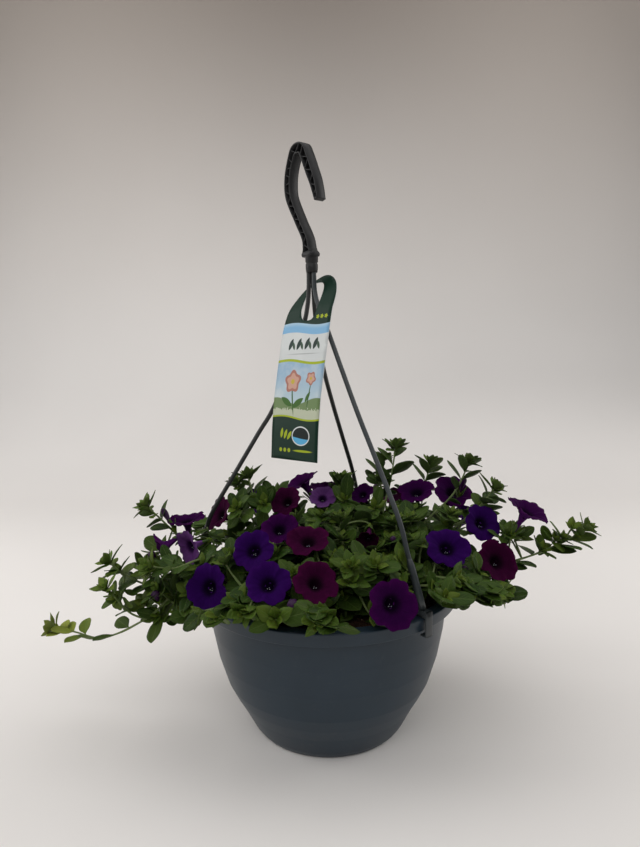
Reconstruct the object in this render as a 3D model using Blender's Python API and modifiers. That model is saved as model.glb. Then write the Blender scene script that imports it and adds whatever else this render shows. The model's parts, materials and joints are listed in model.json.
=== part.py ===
import math
import random

import bmesh
import bpy
from mathutils import Matrix, Vector
from mathutils.bvhtree import BVHTree

# All sizes are in metres. The origin is the centre of the pot's flat base, +Z up,
# and -Y is the front of the basket.

# Pot: outer wall from the base up, rim skirt, then the inner wall down to the floor.
POT_STEPS = 36
POT_HEIGHT = 0.1512
POT_OUTER = (
    (0.0, 0.0), (0.0740, 0.0), (0.0767, 0.0012), (0.0806, 0.0065), (0.0911, 0.0270),
    (0.0985, 0.0400), (0.1055, 0.0540), (0.1138, 0.0810), (0.1190, 0.1080), (0.1240, 0.1492),
)
POT_RIM = (
    (0.1322, 0.1492), (0.1302, 0.1380), (0.1318, 0.1380), (0.1347, 0.1503),
    (0.1340, 0.1512), (0.1232, 0.1512),
)
POT_INNER = (
    (0.1172, 0.1080), (0.1037, 0.0540), (0.0893, 0.0270),
    (0.0781, 0.0060), (0.0750, 0.0020), (0.0, 0.0020),
)
SOIL_TOP = 0.1415
SOIL_R = 0.1190

# Hanger: a neck above the pot, three rods that spread to the rim, and a hook in a turned plane.
NECK = Vector((-0.012, 0.0, 0.0))
ROD_R = 0.0023
ROD_FOOT_R = 0.0034
RODS = (
    (173.0, ((0.0032, 0.4740), (0.0032, 0.4500), (0.0048, 0.4300), (0.0098, 0.4080),
             (0.0228, 0.3720), (0.0413, 0.3282), (0.0574, 0.3024), (0.0835, 0.2600),
             (0.1076, 0.2206), (0.1155, 0.2010), (0.1182, 0.1800), (0.1185, 0.1560))),
    (64.0, ((0.0032, 0.4740), (0.0032, 0.4500), (0.0048, 0.4300), (0.0098, 0.4080),
            (0.0225, 0.3700), (0.0450, 0.3300), (0.0720, 0.2880), (0.0985, 0.2467),
            (0.1190, 0.2040), (0.1300, 0.1780), (0.1346, 0.1640), (0.1353, 0.1560))),
    (-46.5, ((0.0032, 0.4740), (0.0032, 0.4500), (0.0060, 0.4360), (0.0110, 0.4260),
             (0.0238, 0.4007), (0.0420, 0.3640), (0.0616, 0.3253), (0.0870, 0.2790),
             (0.1112, 0.2334), (0.1210, 0.2049), (0.1310, 0.1780), (0.1388, 0.1560))),
)
FOOT_TOP = 0.1572
FOOT_LOW = 0.1515
FOOT_IN = 0.1180
FOOT_OUT = 0.1383

# Tag: a card hung on the rods, leaning forward and turned to the left.
TAG_TURN = -45.0
TAG_HALF = 0.033
TAG_THICK = 0.0006
TAG_LEAN = (
    (0.0000, -0.0345, 0.0060, 0.2800), (0.0300, -0.0318, 0.0050, 0.3099),
    (0.0600, -0.0272, 0.0038, 0.3395), (0.0900, -0.0206, 0.0027, 0.3688),
    (0.1180, -0.0140, 0.0016, 0.3960), (0.1350, -0.0098, 0.0010, 0.4125),
    (0.1490, -0.0062, 0.0006, 0.4260), (0.1640, 0.0012, 0.0003, 0.4390),
    (0.1790, 0.0087, 0.0000, 0.4520), (0.1880, 0.0132, 0.0000, 0.4598),
)
TAG_OUTLINE = (
    (-0.0330, 0.0000), (0.0330, 0.0000), (0.0330, 0.0600), (0.0330, 0.1400), (0.0325, 0.1560),
    (0.0300, 0.1680), (0.0250, 0.1780), (0.0180, 0.1845), (0.0100, 0.1878), (0.0020, 0.1872),
    (-0.0080, 0.1810), (-0.0180, 0.1700), (-0.0260, 0.1560), (-0.0310, 0.1400),
    (-0.0330, 0.1250), (-0.0330, 0.0600),
)
TAG_HOLE = (0.0006, 0.1590, 0.0112, 0.0212)

# Main stems: name, root plant, points from the canopy out to the tip, leaf size at the base end.
PLANTS = ((-0.046, -0.022), (0.030, -0.050), (0.052, 0.020), (-0.010, 0.050))
STEMS = (
    ("stem_01", 0, ((-0.098, -0.044, 0.172), (-0.140, -0.048, 0.162), (-0.167, -0.047, 0.136),
                    (-0.197, -0.040, 0.116), (-0.226, -0.034, 0.103), (-0.250, -0.030, 0.107),
                    (-0.276, -0.030, 0.113)), 0.026),
    ("stem_02", 0, ((-0.095, -0.022, 0.178), (-0.150, -0.027, 0.164), (-0.184, -0.030, 0.157),
                    (-0.203, -0.030, 0.169), (-0.217, -0.030, 0.180)), 0.030),
    ("stem_03", 0, ((-0.100, 0.006, 0.172), (-0.134, -0.002, 0.176), (-0.150, -0.002, 0.193),
                    (-0.168, -0.004, 0.214), (-0.184, -0.004, 0.230)), 0.026),
    ("stem_04", 0, ((-0.088, -0.040, 0.188), (-0.124, -0.056, 0.190), (-0.150, -0.074, 0.186),
                    (-0.161, -0.082, 0.193)), 0.030),
    ("stem_05", 3, ((-0.070, 0.034, 0.190), (-0.090, 0.044, 0.220), (-0.099, 0.046, 0.241)), 0.030),
    ("stem_06", 3, ((-0.050, 0.040, 0.195), (-0.066, 0.044, 0.222), (-0.073, 0.045, 0.240)), 0.030),
    ("stem_07", 0, ((-0.068, -0.080, 0.173), (-0.084, -0.110, 0.170), (-0.094, -0.129, 0.160)), 0.034),
    ("stem_08", 0, ((-0.050, -0.088, 0.176), (-0.062, -0.122, 0.180), (-0.068, -0.144, 0.174)), 0.034),
    ("stem_09", 1, ((-0.004, -0.095, 0.176), (-0.006, -0.130, 0.180), (-0.008, -0.154, 0.171)), 0.034),
    ("stem_10", 3, ((0.012, 0.046, 0.195), (0.017, 0.050, 0.225), (0.018, 0.050, 0.244)), 0.030),
    ("stem_11", 2, ((0.062, 0.052, 0.200), (0.074, 0.070, 0.240), (0.080, 0.078, 0.275)), 0.032),
    ("stem_12", 3, ((0.044, 0.078, 0.195), (0.062, 0.092, 0.228), (0.070, 0.098, 0.258)), 0.032),
    ("stem_13", 2, ((0.088, 0.062, 0.198), (0.112, 0.080, 0.228), (0.122, 0.088, 0.253)), 0.032),
    ("stem_14", 2, ((0.104, 0.036, 0.195), (0.140, 0.044, 0.228), (0.157, 0.048, 0.262)), 0.030),
    ("stem_15", 2, ((0.112, 0.014, 0.190), (0.152, 0.022, 0.207), (0.180, 0.026, 0.238)), 0.030),
    ("stem_16", 2, ((0.104, -0.006, 0.180), (0.156, -0.016, 0.168), (0.194, -0.012, 0.171),
                    (0.226, -0.004, 0.179), (0.252, 0.000, 0.189), (0.268, 0.000, 0.201)), 0.028),
    ("stem_17", 1, ((0.092, -0.048, 0.178), (0.132, -0.062, 0.172), (0.160, -0.074, 0.160)), 0.034),
    ("stem_18", 1, ((0.084, -0.076, 0.176), (0.122, -0.092, 0.172), (0.146, -0.100, 0.158)), 0.032),
    ("stem_19", 1, ((0.048, -0.062, 0.172), (0.062, -0.080, 0.186), (0.069, -0.090, 0.198)), 0.030),
    ("stem_20", 1, ((0.074, -0.084, 0.172), (0.098, -0.100, 0.180), (0.110, -0.106, 0.186)), 0.032),
    ("stem_21", 1, ((0.022, -0.072, 0.172), (0.021, -0.092, 0.186), (0.020, -0.102, 0.198)), 0.032),
    ("stem_22", 1, ((0.018, -0.040, 0.180), (0.014, -0.036, 0.204), (0.012, -0.034, 0.222)), 0.030),
    ("stem_23", 3, ((-0.038, 0.090, 0.190), (-0.052, 0.122, 0.204), (-0.060, 0.140, 0.208)), 0.034),
    ("stem_24", 3, ((0.012, 0.096, 0.190), (0.022, 0.134, 0.196), (0.030, 0.162, 0.188)), 0.034),
    ("stem_25", 2, ((0.084, 0.090, 0.184), (0.112, 0.124, 0.184), (0.130, 0.146, 0.170)), 0.034),
    ("stem_26", 3, ((-0.080, 0.072, 0.184), (-0.122, 0.092, 0.186), (-0.148, 0.104, 0.178)), 0.034),
)
SIDE_SHOOTS = (
    ("stem_01", 0.62, ((-0.192, -0.050, 0.136), (-0.202, -0.056, 0.152), (-0.210, -0.060, 0.166))),
)
STEM_R = 0.0017
STEM_TIP_R = 0.0008
STEM_LOW = 0.1245

# Blooms: name, centre of the limb, facing azimuth and elevation, width, colour, openness.
BLOOMS = (
    ("bloom_01", (-0.111, -0.085, 0.174), -117, 20, 0.045, "violet", 1.00),
    ("bloom_02", (-0.068, -0.085, 0.209), -108, 39, 0.040, "violet", 1.00),
    ("bloom_03", (-0.052, -0.125, 0.193), -102, 45, 0.041, "violet", 1.00),
    ("bloom_04", (-0.009, -0.125, 0.192), -64, 46, 0.041, "wine", 0.92),
    ("bloom_05", (-0.018, -0.070, 0.214), -89, 65, 0.041, "wine", 0.95),
    ("bloom_06", (0.053, -0.140, 0.179), -72, 18, 0.044, "purple", 1.00),
    ("bloom_07", (0.111, -0.070, 0.205), -80, 47, 0.043, "violet", 1.00),
    ("bloom_08", (0.159, -0.010, 0.211), -66, 37, 0.042, "violet", 1.00),
    ("bloom_09", (0.165, -0.045, 0.182), -73, 33, 0.043, "wine", 0.95),
    ("bloom_10", (0.198, -0.030, 0.230), -26, 63, 0.046, "purple", 1.00),
    ("bloom_11", (0.138, 0.050, 0.236), -72, 66, 0.044, "purple", 0.95),
    ("bloom_12", (0.100, 0.060, 0.232), -112, 60, 0.042, "purple", 0.95),
    ("bloom_13", (-0.026, 0.050, 0.244), -167, 63, 0.040, "purple", 0.85),
    ("bloom_14", (-0.004, 0.026, 0.229), -86, 50, 0.029, "lilac", 0.55),
    ("bloom_15", (-0.119, 0.026, 0.214), -143, 38, 0.040, "wine", 0.85),
    ("bloom_16", (-0.149, 0.004, 0.212), -150, 78, 0.040, "purple", 0.85),
    ("bloom_17", (-0.047, -0.030, 0.213), -86, 53, 0.038, "purple", 0.95),
    ("bloom_18", (-0.136, -0.040, 0.197), -135, -5, 0.036, "lilac", 0.80),
    ("bloom_19", (-0.164, -0.026, 0.193), -150, -25, 0.034, "purple", 0.65),
    ("bloom_20", (-0.043, 0.020, 0.228), -120, 43, 0.036, "wine", 0.90),
    ("bloom_21", (0.040, 0.046, 0.228), -121, 49, 0.027, "purple", 0.50),
    ("bloom_22", (0.040, -0.036, 0.202), -100, -30, 0.024, "wine", 0.35),
    ("bloom_23", (-0.090, 0.110, 0.212), 120, 45, 0.041, "violet", 1.00),
    ("bloom_24", (0.000, 0.145, 0.214), 88, 50, 0.042, "purple", 1.00),
    ("bloom_25", (0.086, 0.136, 0.204), 60, 40, 0.042, "wine", 1.00),
    ("bloom_26", (0.168, 0.088, 0.190), 30, 30, 0.041, "violet", 1.00),
)
BLOOM_DEPTH = 0.64

# Canopy: where the leaves that fill the bunch stand, as a dome over the pot.
CANOPY_MID = Vector((0.018, -0.002, 0.140))
CANOPY_HALF = Vector((0.176, 0.152, 0.088))
FILL_COUNT = 92
LEAF_THICK = 0.0007
GAP = 0.0005
SOLID_STEPS = (2, 4)
SOLID_DEPTH = 0.915


def along(azimuth, elevation=0.0):
    """Unit vector of an azimuth from +X and an elevation, in degrees."""
    a = math.radians(azimuth)
    e = math.radians(elevation)
    return Vector((math.cos(a) * math.cos(e), math.sin(a) * math.cos(e), math.sin(e)))


def spline(points, count):
    """Points at equal lengths on a smooth curve through the given ones."""
    pts = [Vector(p) for p in points]
    pts = [pts[0] * 2 - pts[1]] + pts + [pts[-1] * 2 - pts[-2]]
    fine = []
    for i in range(1, len(pts) - 2):
        a, b, c, d = pts[i - 1:i + 3]
        for k in range(12):
            t = k / 12
            fine.append(0.5 * (2 * b + (c - a) * t + (2 * a - 5 * b + 4 * c - d) * t * t
                               + (3 * b - a - 3 * c + d) * t * t * t))
    fine.append(pts[-2])
    runs = [0.0]
    for p, q in zip(fine, fine[1:]):
        runs.append(runs[-1] + (q - p).length)
    out = []
    k = 0
    for i in range(count):
        want = runs[-1] * i / (count - 1)
        while k < len(runs) - 2 and runs[k + 1] < want:
            k += 1
        span = max(runs[k + 1] - runs[k], 1e-9)
        out.append(fine[k].lerp(fine[k + 1], min(max((want - runs[k]) / span, 0.0), 1.0)))
    return out


def length_of(path):
    return sum((q - p).length for p, q in zip(path, path[1:]))


def point_on(path, share):
    """Point and direction at a share of the path's length."""
    want = length_of(path) * min(max(share, 0.0), 1.0)
    for p, q in zip(path, path[1:]):
        step = (q - p).length
        if want <= step:
            return p.lerp(q, want / max(step, 1e-9)), (q - p).normalized()
        want -= step
    return path[-1].copy(), (path[-1] - path[-2]).normalized()


def side_of(direction):
    """Some unit vector square to the direction."""
    ref = Vector((0.0, 0.0, 1.0))
    if abs(direction.z) > 0.9:
        ref = Vector((1.0, 0.0, 0.0))
    return direction.cross(ref).normalized()


def frames_of(path):
    """Two unit vectors square to the path at each of its points, without twist."""
    side = side_of((path[1] - path[0]).normalized())
    frames = []
    for i in range(len(path)):
        ahead = path[min(i + 1, len(path) - 1)] - path[max(i - 1, 0)]
        ahead.normalize()
        side = (side - ahead * side.dot(ahead)).normalized()
        frames.append((side, ahead.cross(side)))
    return frames


def through_face(path, share, want, sides):
    """Direction square to the path, through the middle of the tube's face nearest to the wanted one."""
    left = length_of(path) * min(max(share, 0.0), 1.0)
    i = 0
    while i < len(path) - 2 and left > (path[i + 1] - path[i]).length:
        left -= (path[i + 1] - path[i]).length
        i += 1
    ahead = (path[i + 1] - path[i]).normalized()
    side = frames_of(path)[i][0]
    side = (side - ahead * side.dot(ahead)).normalized()
    other = ahead.cross(side)
    step = 2 * math.pi / sides
    turn = (round(math.atan2(want.dot(other), want.dot(side)) / step - 0.5) + 0.5) * step
    return side * math.cos(turn) + other * math.sin(turn)


def tube(path, radii, sides):
    """Closed tube along the path: (points, faces)."""
    verts = []
    for i, (side, other) in enumerate(frames_of(path)):
        p = path[i]
        r = radii[i] if isinstance(radii, (list, tuple)) else radii
        for k in range(sides):
            a = 2 * math.pi * k / sides
            verts.append(p + (side * math.cos(a) + other * math.sin(a)) * r)
    faces = [tuple(range(sides - 1, -1, -1))]
    for i in range(len(path) - 1):
        for k in range(sides):
            n = (k + 1) % sides
            faces.append((i * sides + k, i * sides + n, (i + 1) * sides + n, (i + 1) * sides + k))
    last = (len(path) - 1) * sides
    faces.append(tuple(range(last, last + sides)))
    return verts, faces


def blade(base, ahead, up, size, width, droop, thick, stations):
    """Closed thin blade from its base along a direction: (points, faces)."""
    side = ahead.cross(up).normalized()
    up = side.cross(ahead).normalized()
    verts = []
    for u, w, lift in stations:
        mid = base + ahead * (size * u) - up * (droop * size * u * u)
        half = max(width * 0.5 * w, 0.0)
        if w > 0:
            rise = up * (lift * width)
            verts.append(mid - side * half + rise + up * thick * 0.5)
            verts.append(mid + side * half + rise + up * thick * 0.5)
            verts.append(mid + side * half + rise - up * thick * 0.5)
            verts.append(mid - side * half + rise - up * thick * 0.5)
        else:
            verts.append(mid + up * thick * 0.5)
            verts.append(mid - up * thick * 0.5)
    faces = [(0, 1, 2, 3)]
    rings = len(stations) - 1
    for i in range(rings - 1):
        a = 4 * i
        b = a + 4
        for k in range(4):
            n = (k + 1) % 4
            faces.append((a + k, b + k, b + n, a + n))
    a = 4 * (rings - 1)
    t = a + 4
    faces.append((a, t, a + 1))
    faces.append((a + 2, t + 1, a + 3))
    faces.append((a + 1, t, t + 1, a + 2))
    faces.append((a + 3, t + 1, t, a))
    return verts, faces


LARGE_LEAF = ((0.0, 0.03, 0.0), (0.36, 0.96, 0.03), (0.76, 0.84, 0.02), (1.0, 0.0, 0.0))
SMALL_LEAF = ((0.0, 0.16, 0.0), (0.55, 1.0, 0.03), (1.0, 0.0, 0.0))


def leaf_mesh(leaf, swell=0.0):
    stations = SMALL_LEAF if leaf["small"] else LARGE_LEAF
    return blade(leaf["base"], leaf["ahead"], leaf["up"], leaf["size"] + swell, leaf["width"] + 2 * swell,
                 leaf["droop"], LEAF_THICK + 2 * swell, stations)


def turned(rings, faces_of, origin, axis, spin):
    """Places ring points given as (x along the axis, radius, angle) around an axis."""
    side = side_of(axis)
    side = Matrix.Rotation(spin, 3, axis) @ side
    other = axis.cross(side)
    verts = []
    for x, r, a in rings:
        verts.append(origin + axis * x + (side * math.cos(a) + other * math.sin(a)) * r)
    return verts, faces_of


def bloom_mesh(bloom, swell=0.0):
    """Trumpet with a five-lobed limb, a hollow throat and a solid tube behind it."""
    width = bloom["width"]
    depth = width * BLOOM_DEPTH
    spread = bloom["open"]
    half = width * 0.5 + swell
    thick = 0.0008 + 2 * swell
    front = depth * (1.0 + 0.30 * (1.0 - spread))
    pts = []
    seg = 2 * math.pi / 15
    for layer in range(2):
        back = thick if layer else 0.0
        for k in range(15):
            lobe = (0.87, 1.0, 1.0)[k % 3]
            lift = (0.0, -0.045, 0.015)[k % 3] * width
            pts.append((front + lift - back, half * lobe, k * seg))
        for k in range(10):
            r = half * (0.585, 0.605)[k % 2]
            pts.append((front - width * 0.035 - (1.0 - spread) * width * 0.10 - back * 1.1, r, k * 1.5 * seg))
    mouth = 0.0052 * width / 0.042
    for k in range(5):
        pts.append((front - width * 0.16, mouth, (3 * k) * seg))
    pts.append((depth * 0.52, 0.0, 0.0))
    for k in range(5):
        pts.append((depth * 0.42, 0.0026 + swell, (3 * k) * seg))
    for k in range(5):
        pts.append((0.0, 0.0012 + swell, (3 * k) * seg))
    edge, mid, edge_b, mid_b = 0, 15, 25, 40
    throat, pit, tube_r, root = 50, 55, 56, 61
    faces = []
    for k in range(15):
        n = (k + 1) % 15
        faces.append((edge + n, edge + k, edge_b + k, edge_b + n))
    for j in range(5):
        m = (j + 1) % 5
        e0, e1, e2, e3 = 3 * j, 3 * j + 1, 3 * j + 2, (3 * j + 3) % 15
        m0, m1, m2 = 2 * j, 2 * j + 1, (2 * j + 2) % 10
        for e, q, inner, flip in ((edge, mid, throat, False), (edge_b, mid_b, tube_r, True)):
            side = [(e + e0, e + e1, q + m0), (e + e1, q + m1, q + m0), (e + e1, e + e2, q + m1),
                    (e + e2, q + m2, q + m1), (e + e2, e + e3, q + m2),
                    (inner + j, q + m0, q + m1), (inner + j, q + m1, inner + m), (inner + m, q + m1, q + m2)]
            for face in side:
                faces.append(face[::-1] if flip else face)
        faces.append((pit, throat + j, throat + m))
        faces.append((tube_r + m, tube_r + j, root + j, root + m))
    faces.append((root + 4, root + 3, root + 2, root + 1, root))
    verts, faces = turned(pts, faces, bloom["base"], bloom["face"], bloom["spin"])
    return verts, [f[::-1] for f in faces]


def calyx_mesh(base, axis, spin, scale=1.0):
    """Cup with five teeth that holds a bloom's tube, on the end of its stalk."""
    step = 2 * math.pi / 5
    pts = []
    tip_x = 0.0125 * scale
    rings = ((-0.0058, 0.0009, 0.0), (0.0008, 0.0038, 0.0), (0.0008, 0.0030, 0.0), (tip_x, 0.0056, 0.5))
    for x, r, shift in rings:
        for k in range(5):
            pts.append((x, r, (k + shift) * step))
    pts.append((-0.0020, 0.0, 0.0))
    low, out, inn, tip, floor = 0, 5, 10, 15, 20
    faces = [(low, low + 1, low + 2, low + 3, low + 4)]
    for k in range(5):
        n = (k + 1) % 5
        faces.append((low + k, low + n, out + n, out + k))
        faces.append((out + k, out + n, tip + k))
        faces.append((inn + n, inn + k, tip + k))
        faces.append((inn + k, out + k, tip + k))
        faces.append((out + n, inn + n, tip + k))
        faces.append((floor, inn + k, inn + n))
    return turned(pts, faces, base, axis, spin)


def calyx_scale(bloom):
    return min(1.0, bloom["width"] / 0.040)


def box_of(verts, pad=0.0):
    rim = Vector((pad, pad, pad))
    low = Vector([min(v[k] for v in verts) for k in range(3)])
    high = Vector([max(v[k] for v in verts) for k in range(3)])
    return low - rim, high + rim


class Crowd:
    """Every placed piece, so that a new one can be kept clear of all the others."""

    def __init__(self):
        self.items = []

    def add(self, mesh, owner, kind):
        tree = BVHTree.FromPolygons(mesh[0], mesh[1])
        low, high = box_of(mesh[0])
        self.items.append((low, high, tree, owner, kind))

    def clear(self, mesh, skip=()):
        low, high = box_of(mesh[0])
        tree = None
        for lo, hi, other, owner, kind in self.items:
            if (owner, kind) in skip:
                continue
            if lo.x > high.x or lo.y > high.y or lo.z > high.z:
                continue
            if hi.x < low.x or hi.y < low.y or hi.z < low.z:
                continue
            if tree is None:
                tree = BVHTree.FromPolygons(mesh[0], mesh[1])
            if tree.overlap(other):
                return False
        return True


def ring_wall(low_r, high_r, low_z, high_z, sides=44):
    """Closed ring with a rectangular section."""
    verts = []
    for r, z in ((low_r, low_z), (high_r, low_z), (high_r, high_z), (low_r, high_z)):
        for k in range(sides):
            a = 2 * math.pi * k / sides
            verts.append(Vector((r * math.cos(a), r * math.sin(a), z)))
    faces = []
    for j in range(4):
        for k in range(sides):
            n = (k + 1) % sides
            a = j * sides
            b = ((j + 1) % 4) * sides
            faces.append((a + k, a + n, b + n, b + k))
    return verts, faces


def rod_path(azimuth, points, count=11):
    d = along(azimuth)
    return spline([NECK + d * rho + Vector((0.0, 0.0, z)) for rho, z in points], count)


def tag_point(h, s, off=0.0):
    """Point of the bent card from its own width and height, and a distance off its back."""
    k = 0
    while k < len(TAG_LEAN) - 2 and TAG_LEAN[k + 1][0] < s:
        k += 1
    a = TAG_LEAN[k]
    b = TAG_LEAN[k + 1]
    t = (s - a[0]) / (b[0] - a[0])
    back = a[1] + (b[1] - a[1]) * t
    shift = a[2] + (b[2] - a[2]) * t
    z = a[3] + (b[3] - a[3]) * t
    across = along(TAG_TURN)
    normal = along(TAG_TURN + 90.0)
    lean = math.atan2(b[1] - a[1], b[3] - a[3])
    roll = math.radians(2.0)
    outward = normal * math.cos(lean) - Vector((0.0, 0.0, 1.0)) * math.sin(lean)
    height = Vector((0.0, 0.0, z + h * math.sin(roll)))
    return NECK + across * (h * math.cos(roll) + shift) + normal * back + height + outward * off


def tag_sheet(thick):
    """The bent card as a closed strip without its hole, for keeping things clear of it."""
    verts = []
    rows = [row[0] for row in TAG_LEAN]
    for s in rows:
        for h, off in ((-TAG_HALF, 0.0), (TAG_HALF, 0.0), (TAG_HALF, thick), (-TAG_HALF, thick)):
            verts.append(tag_point(h, s, off))
    faces = [(3, 2, 1, 0)]
    for i in range(len(rows) - 1):
        for k in range(4):
            n = (k + 1) % 4
            faces.append((4 * i + k, 4 * i + n, 4 * i + 4 + n, 4 * i + 4 + k))
    last = 4 * (len(rows) - 1)
    faces.append((last, last + 1, last + 2, last + 3))
    return verts, faces


def foot_boxes(path):
    """The clip over the rim under a rod, as (inner r, outer r, half width, low z, high z)."""
    return (
        (FOOT_IN, FOOT_OUT, 0.0042, FOOT_LOW, FOOT_TOP),
        (0.1365, FOOT_OUT, 0.0044, 0.1340, FOOT_TOP),
        (0.1308, FOOT_OUT, 0.0040, 0.1340, 0.1361),
        (FOOT_IN, 0.1197, 0.0040, 0.1465, FOOT_TOP),
    )


BOX_FACES = [(3, 2, 1, 0), (4, 5, 6, 7), (0, 1, 5, 4), (1, 2, 6, 5), (2, 3, 7, 6), (3, 0, 4, 7)]


def polar_box(azimuth, low_r, high_r, half, low_z, high_z):
    out = along(azimuth)
    tan = along(azimuth + 90.0)
    up = Vector((0.0, 0.0, 1.0))
    verts = []
    for z in (low_z, high_z):
        for r, t in ((low_r, -half), (high_r, -half), (high_r, half), (low_r, half)):
            verts.append(out * r + tan * t + up * z)
    return verts, BOX_FACES


def root_spots():
    """A spot in the soil for each stem, near its plant's crown and clear of the others."""
    spots = []
    for i, (name, plant, points, size) in enumerate(STEMS):
        centre = Vector((PLANTS[plant][0], PLANTS[plant][1], 0.0))
        toward = Vector((points[0][0], points[0][1], 0.0)) - centre
        toward.normalize()
        spots.append(centre + toward * (0.010 + 0.003 * (i % 3)))
    for _ in range(60):
        for i in range(len(spots)):
            for j in range(i + 1, len(spots)):
                gap = spots[j] - spots[i]
                if gap.length < 0.0095:
                    push = gap.normalized() * (0.0095 - gap.length) * 0.5
                    spots[i] -= push
                    spots[j] += push
    return spots


def plan_plant():
    """Works out every stem, bloom, stalk and leaf, each clear of the rest."""
    rng = random.Random(29)
    crowd = Crowd()
    for azimuth, points in RODS:
        path = rod_path(azimuth, points)
        crowd.add(tube(path, 0.0040, 6), "hanger", "rod")
        end = path[-1]
        foot = math.degrees(math.atan2(end.y, end.x))
        crowd.add(polar_box(foot, 0.1170, 0.1395, 0.0055, 0.1330, 0.1600), "hanger", "foot")
    crowd.add(tag_sheet(0.0012), "tag", "card")
    crowd.add(ring_wall(0.1188, 0.1364, 0.1360, 0.1530), "pot", "rim")
    disc = ([Vector((0.1200 * math.cos(k * math.pi / 12), 0.1200 * math.sin(k * math.pi / 12), 0.1445))
             for k in range(24)], [tuple(range(24))])
    stems = []
    for spot, (name, plant, points, size) in zip(root_spots(), STEMS):
        best = None
        for trial in range(60):
            jog = 0.0 if trial == 0 else 0.002 + 0.0005 * trial
            vias = []
            for p in points:
                shake = Vector((rng.uniform(-1, 1), rng.uniform(-1, 1), rng.uniform(-0.6, 0.6)))
                vias.append(Vector(p) + shake * jog)
            low = Vector((spot.x, spot.y, STEM_LOW))
            lean = Vector((vias[0].x - spot.x, vias[0].y - spot.y, 0.0)) * 0.16
            guide = [low + Vector((0, 0, 0.0208)), low + lean + Vector((0, 0, 0.032))] + vias
            count = int(min(max(length_of(spline(guide, 30)) / 0.021, 5), 11)) + 1
            path = [low] + spline(guide, count)
            if crowd.clear(tube(path, STEM_R + 0.0012, 5)):
                best = path
                break
        if best is None:
            best = path
        last = len(best) - 1
        radii = [STEM_R + (STEM_TIP_R - STEM_R) * i / last for i in range(last + 1)]
        stems.append({"name": name, "path": best, "radii": radii, "size": size, "leaves": [], "stalks": [],
                      "calyces": [], "shoots": [], "buds": []})
        crowd.add(tube(best, radii, 5), name, "stem")
    crowd.add(disc, "soil", "top")
    by_name = {stem["name"]: stem for stem in stems}
    for name, share, points in SIDE_SHOOTS:
        stem = by_name[name]
        start, way = point_on(stem["path"], share)
        path = spline([start] + [Vector(p) for p in points], 5)
        stem["shoots"].append({"path": path, "radii": [0.0011, 0.0011, 0.0010, 0.0009, 0.0008], "tip": True,
                               "solid": True})
        crowd.add(tube(path, 0.0010, 4), name, "shoot")
    blooms = []
    for name, centre, azimuth, elevation, width, colour, spread in BLOOMS:
        best = None
        for trial in range(80):
            jog = 0.0 if trial == 0 else 0.0010 + 0.00012 * trial
            turn = 0.0 if trial == 0 else 3.0 + 0.20 * trial
            face = along(azimuth + rng.uniform(-turn, turn), elevation + rng.uniform(-turn, turn))
            mid = Vector(centre) + Vector((rng.uniform(-1, 1), rng.uniform(-1, 1), rng.uniform(-1, 1))) * jog
            bloom = {"name": name, "face": face, "width": width, "open": spread, "colour": colour,
                     "spin": rng.uniform(0.0, 6.28), "base": mid - face * width * BLOOM_DEPTH}
            if not crowd.clear(bloom_mesh(bloom, GAP)):
                continue
            stalk = stalk_for(bloom, stems, crowd, rng)
            if stalk is not None:
                best = bloom
                break
        if best is None:
            continue
        stem, path, spin = stalk
        stem["stalks"].append(path)
        stem["calyces"].append((best["base"], best["face"], spin, calyx_scale(best)))
        crowd.add(tube(path, 0.0008, 4), stem["name"], "stalk")
        crowd.add(calyx_mesh(best["base"], best["face"], spin, calyx_scale(best)), stem["name"], "calyx")
        crowd.add(bloom_mesh(best), name, "bloom")
        blooms.append(best)
    for stem in stems:
        dress_tip(stem, stem["path"], stem["size"], crowd, rng, 0.34)
        for shoot in stem["shoots"]:
            dress_tip(stem, shoot["path"], 0.018, crowd, rng, 0.2)
    fill_canopy(stems, crowd, rng)
    return stems, blooms, crowd


def stalk_for(bloom, stems, crowd, rng):
    """A clear stalk from some stem to the bloom's base, or None."""
    base = bloom["base"]
    face = bloom["face"]
    found = []
    for stem in stems:
        for share in (0.45, 0.55, 0.65, 0.75, 0.85, 0.93):
            start, way = point_on(stem["path"], share)
            gap = base - start
            if gap.length < 0.010 or gap.length > 0.075:
                continue
            bend = 1.0 - gap.normalized().dot(face)
            found.append((gap.length + 0.018 * bend, stem["name"], share, stem, start))
    found.sort(key=lambda item: item[:3])
    spin = rng.uniform(0.0, 1.2)
    calyx = calyx_mesh(base, face, spin, calyx_scale(bloom))
    if not crowd.clear(calyx):
        return None
    for cost, name, share, stem, start in found[:14]:
        end = base - face * 0.0048
        span = (end - start).length
        for k in range(3):
            reach = (0.30, 0.45, 0.20)[k] * span
            way = (end - start).normalized()
            mid = start.lerp(end, 0.5) - face * reach * 0.5 + way * 0.0
            path = spline([start, mid, end - face * reach * 0.25, end], 5)
            if crowd.clear(tube(path, 0.0014, 4), skip=((name, "stem"),)):
                return stem, path, spin
    return None


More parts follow.
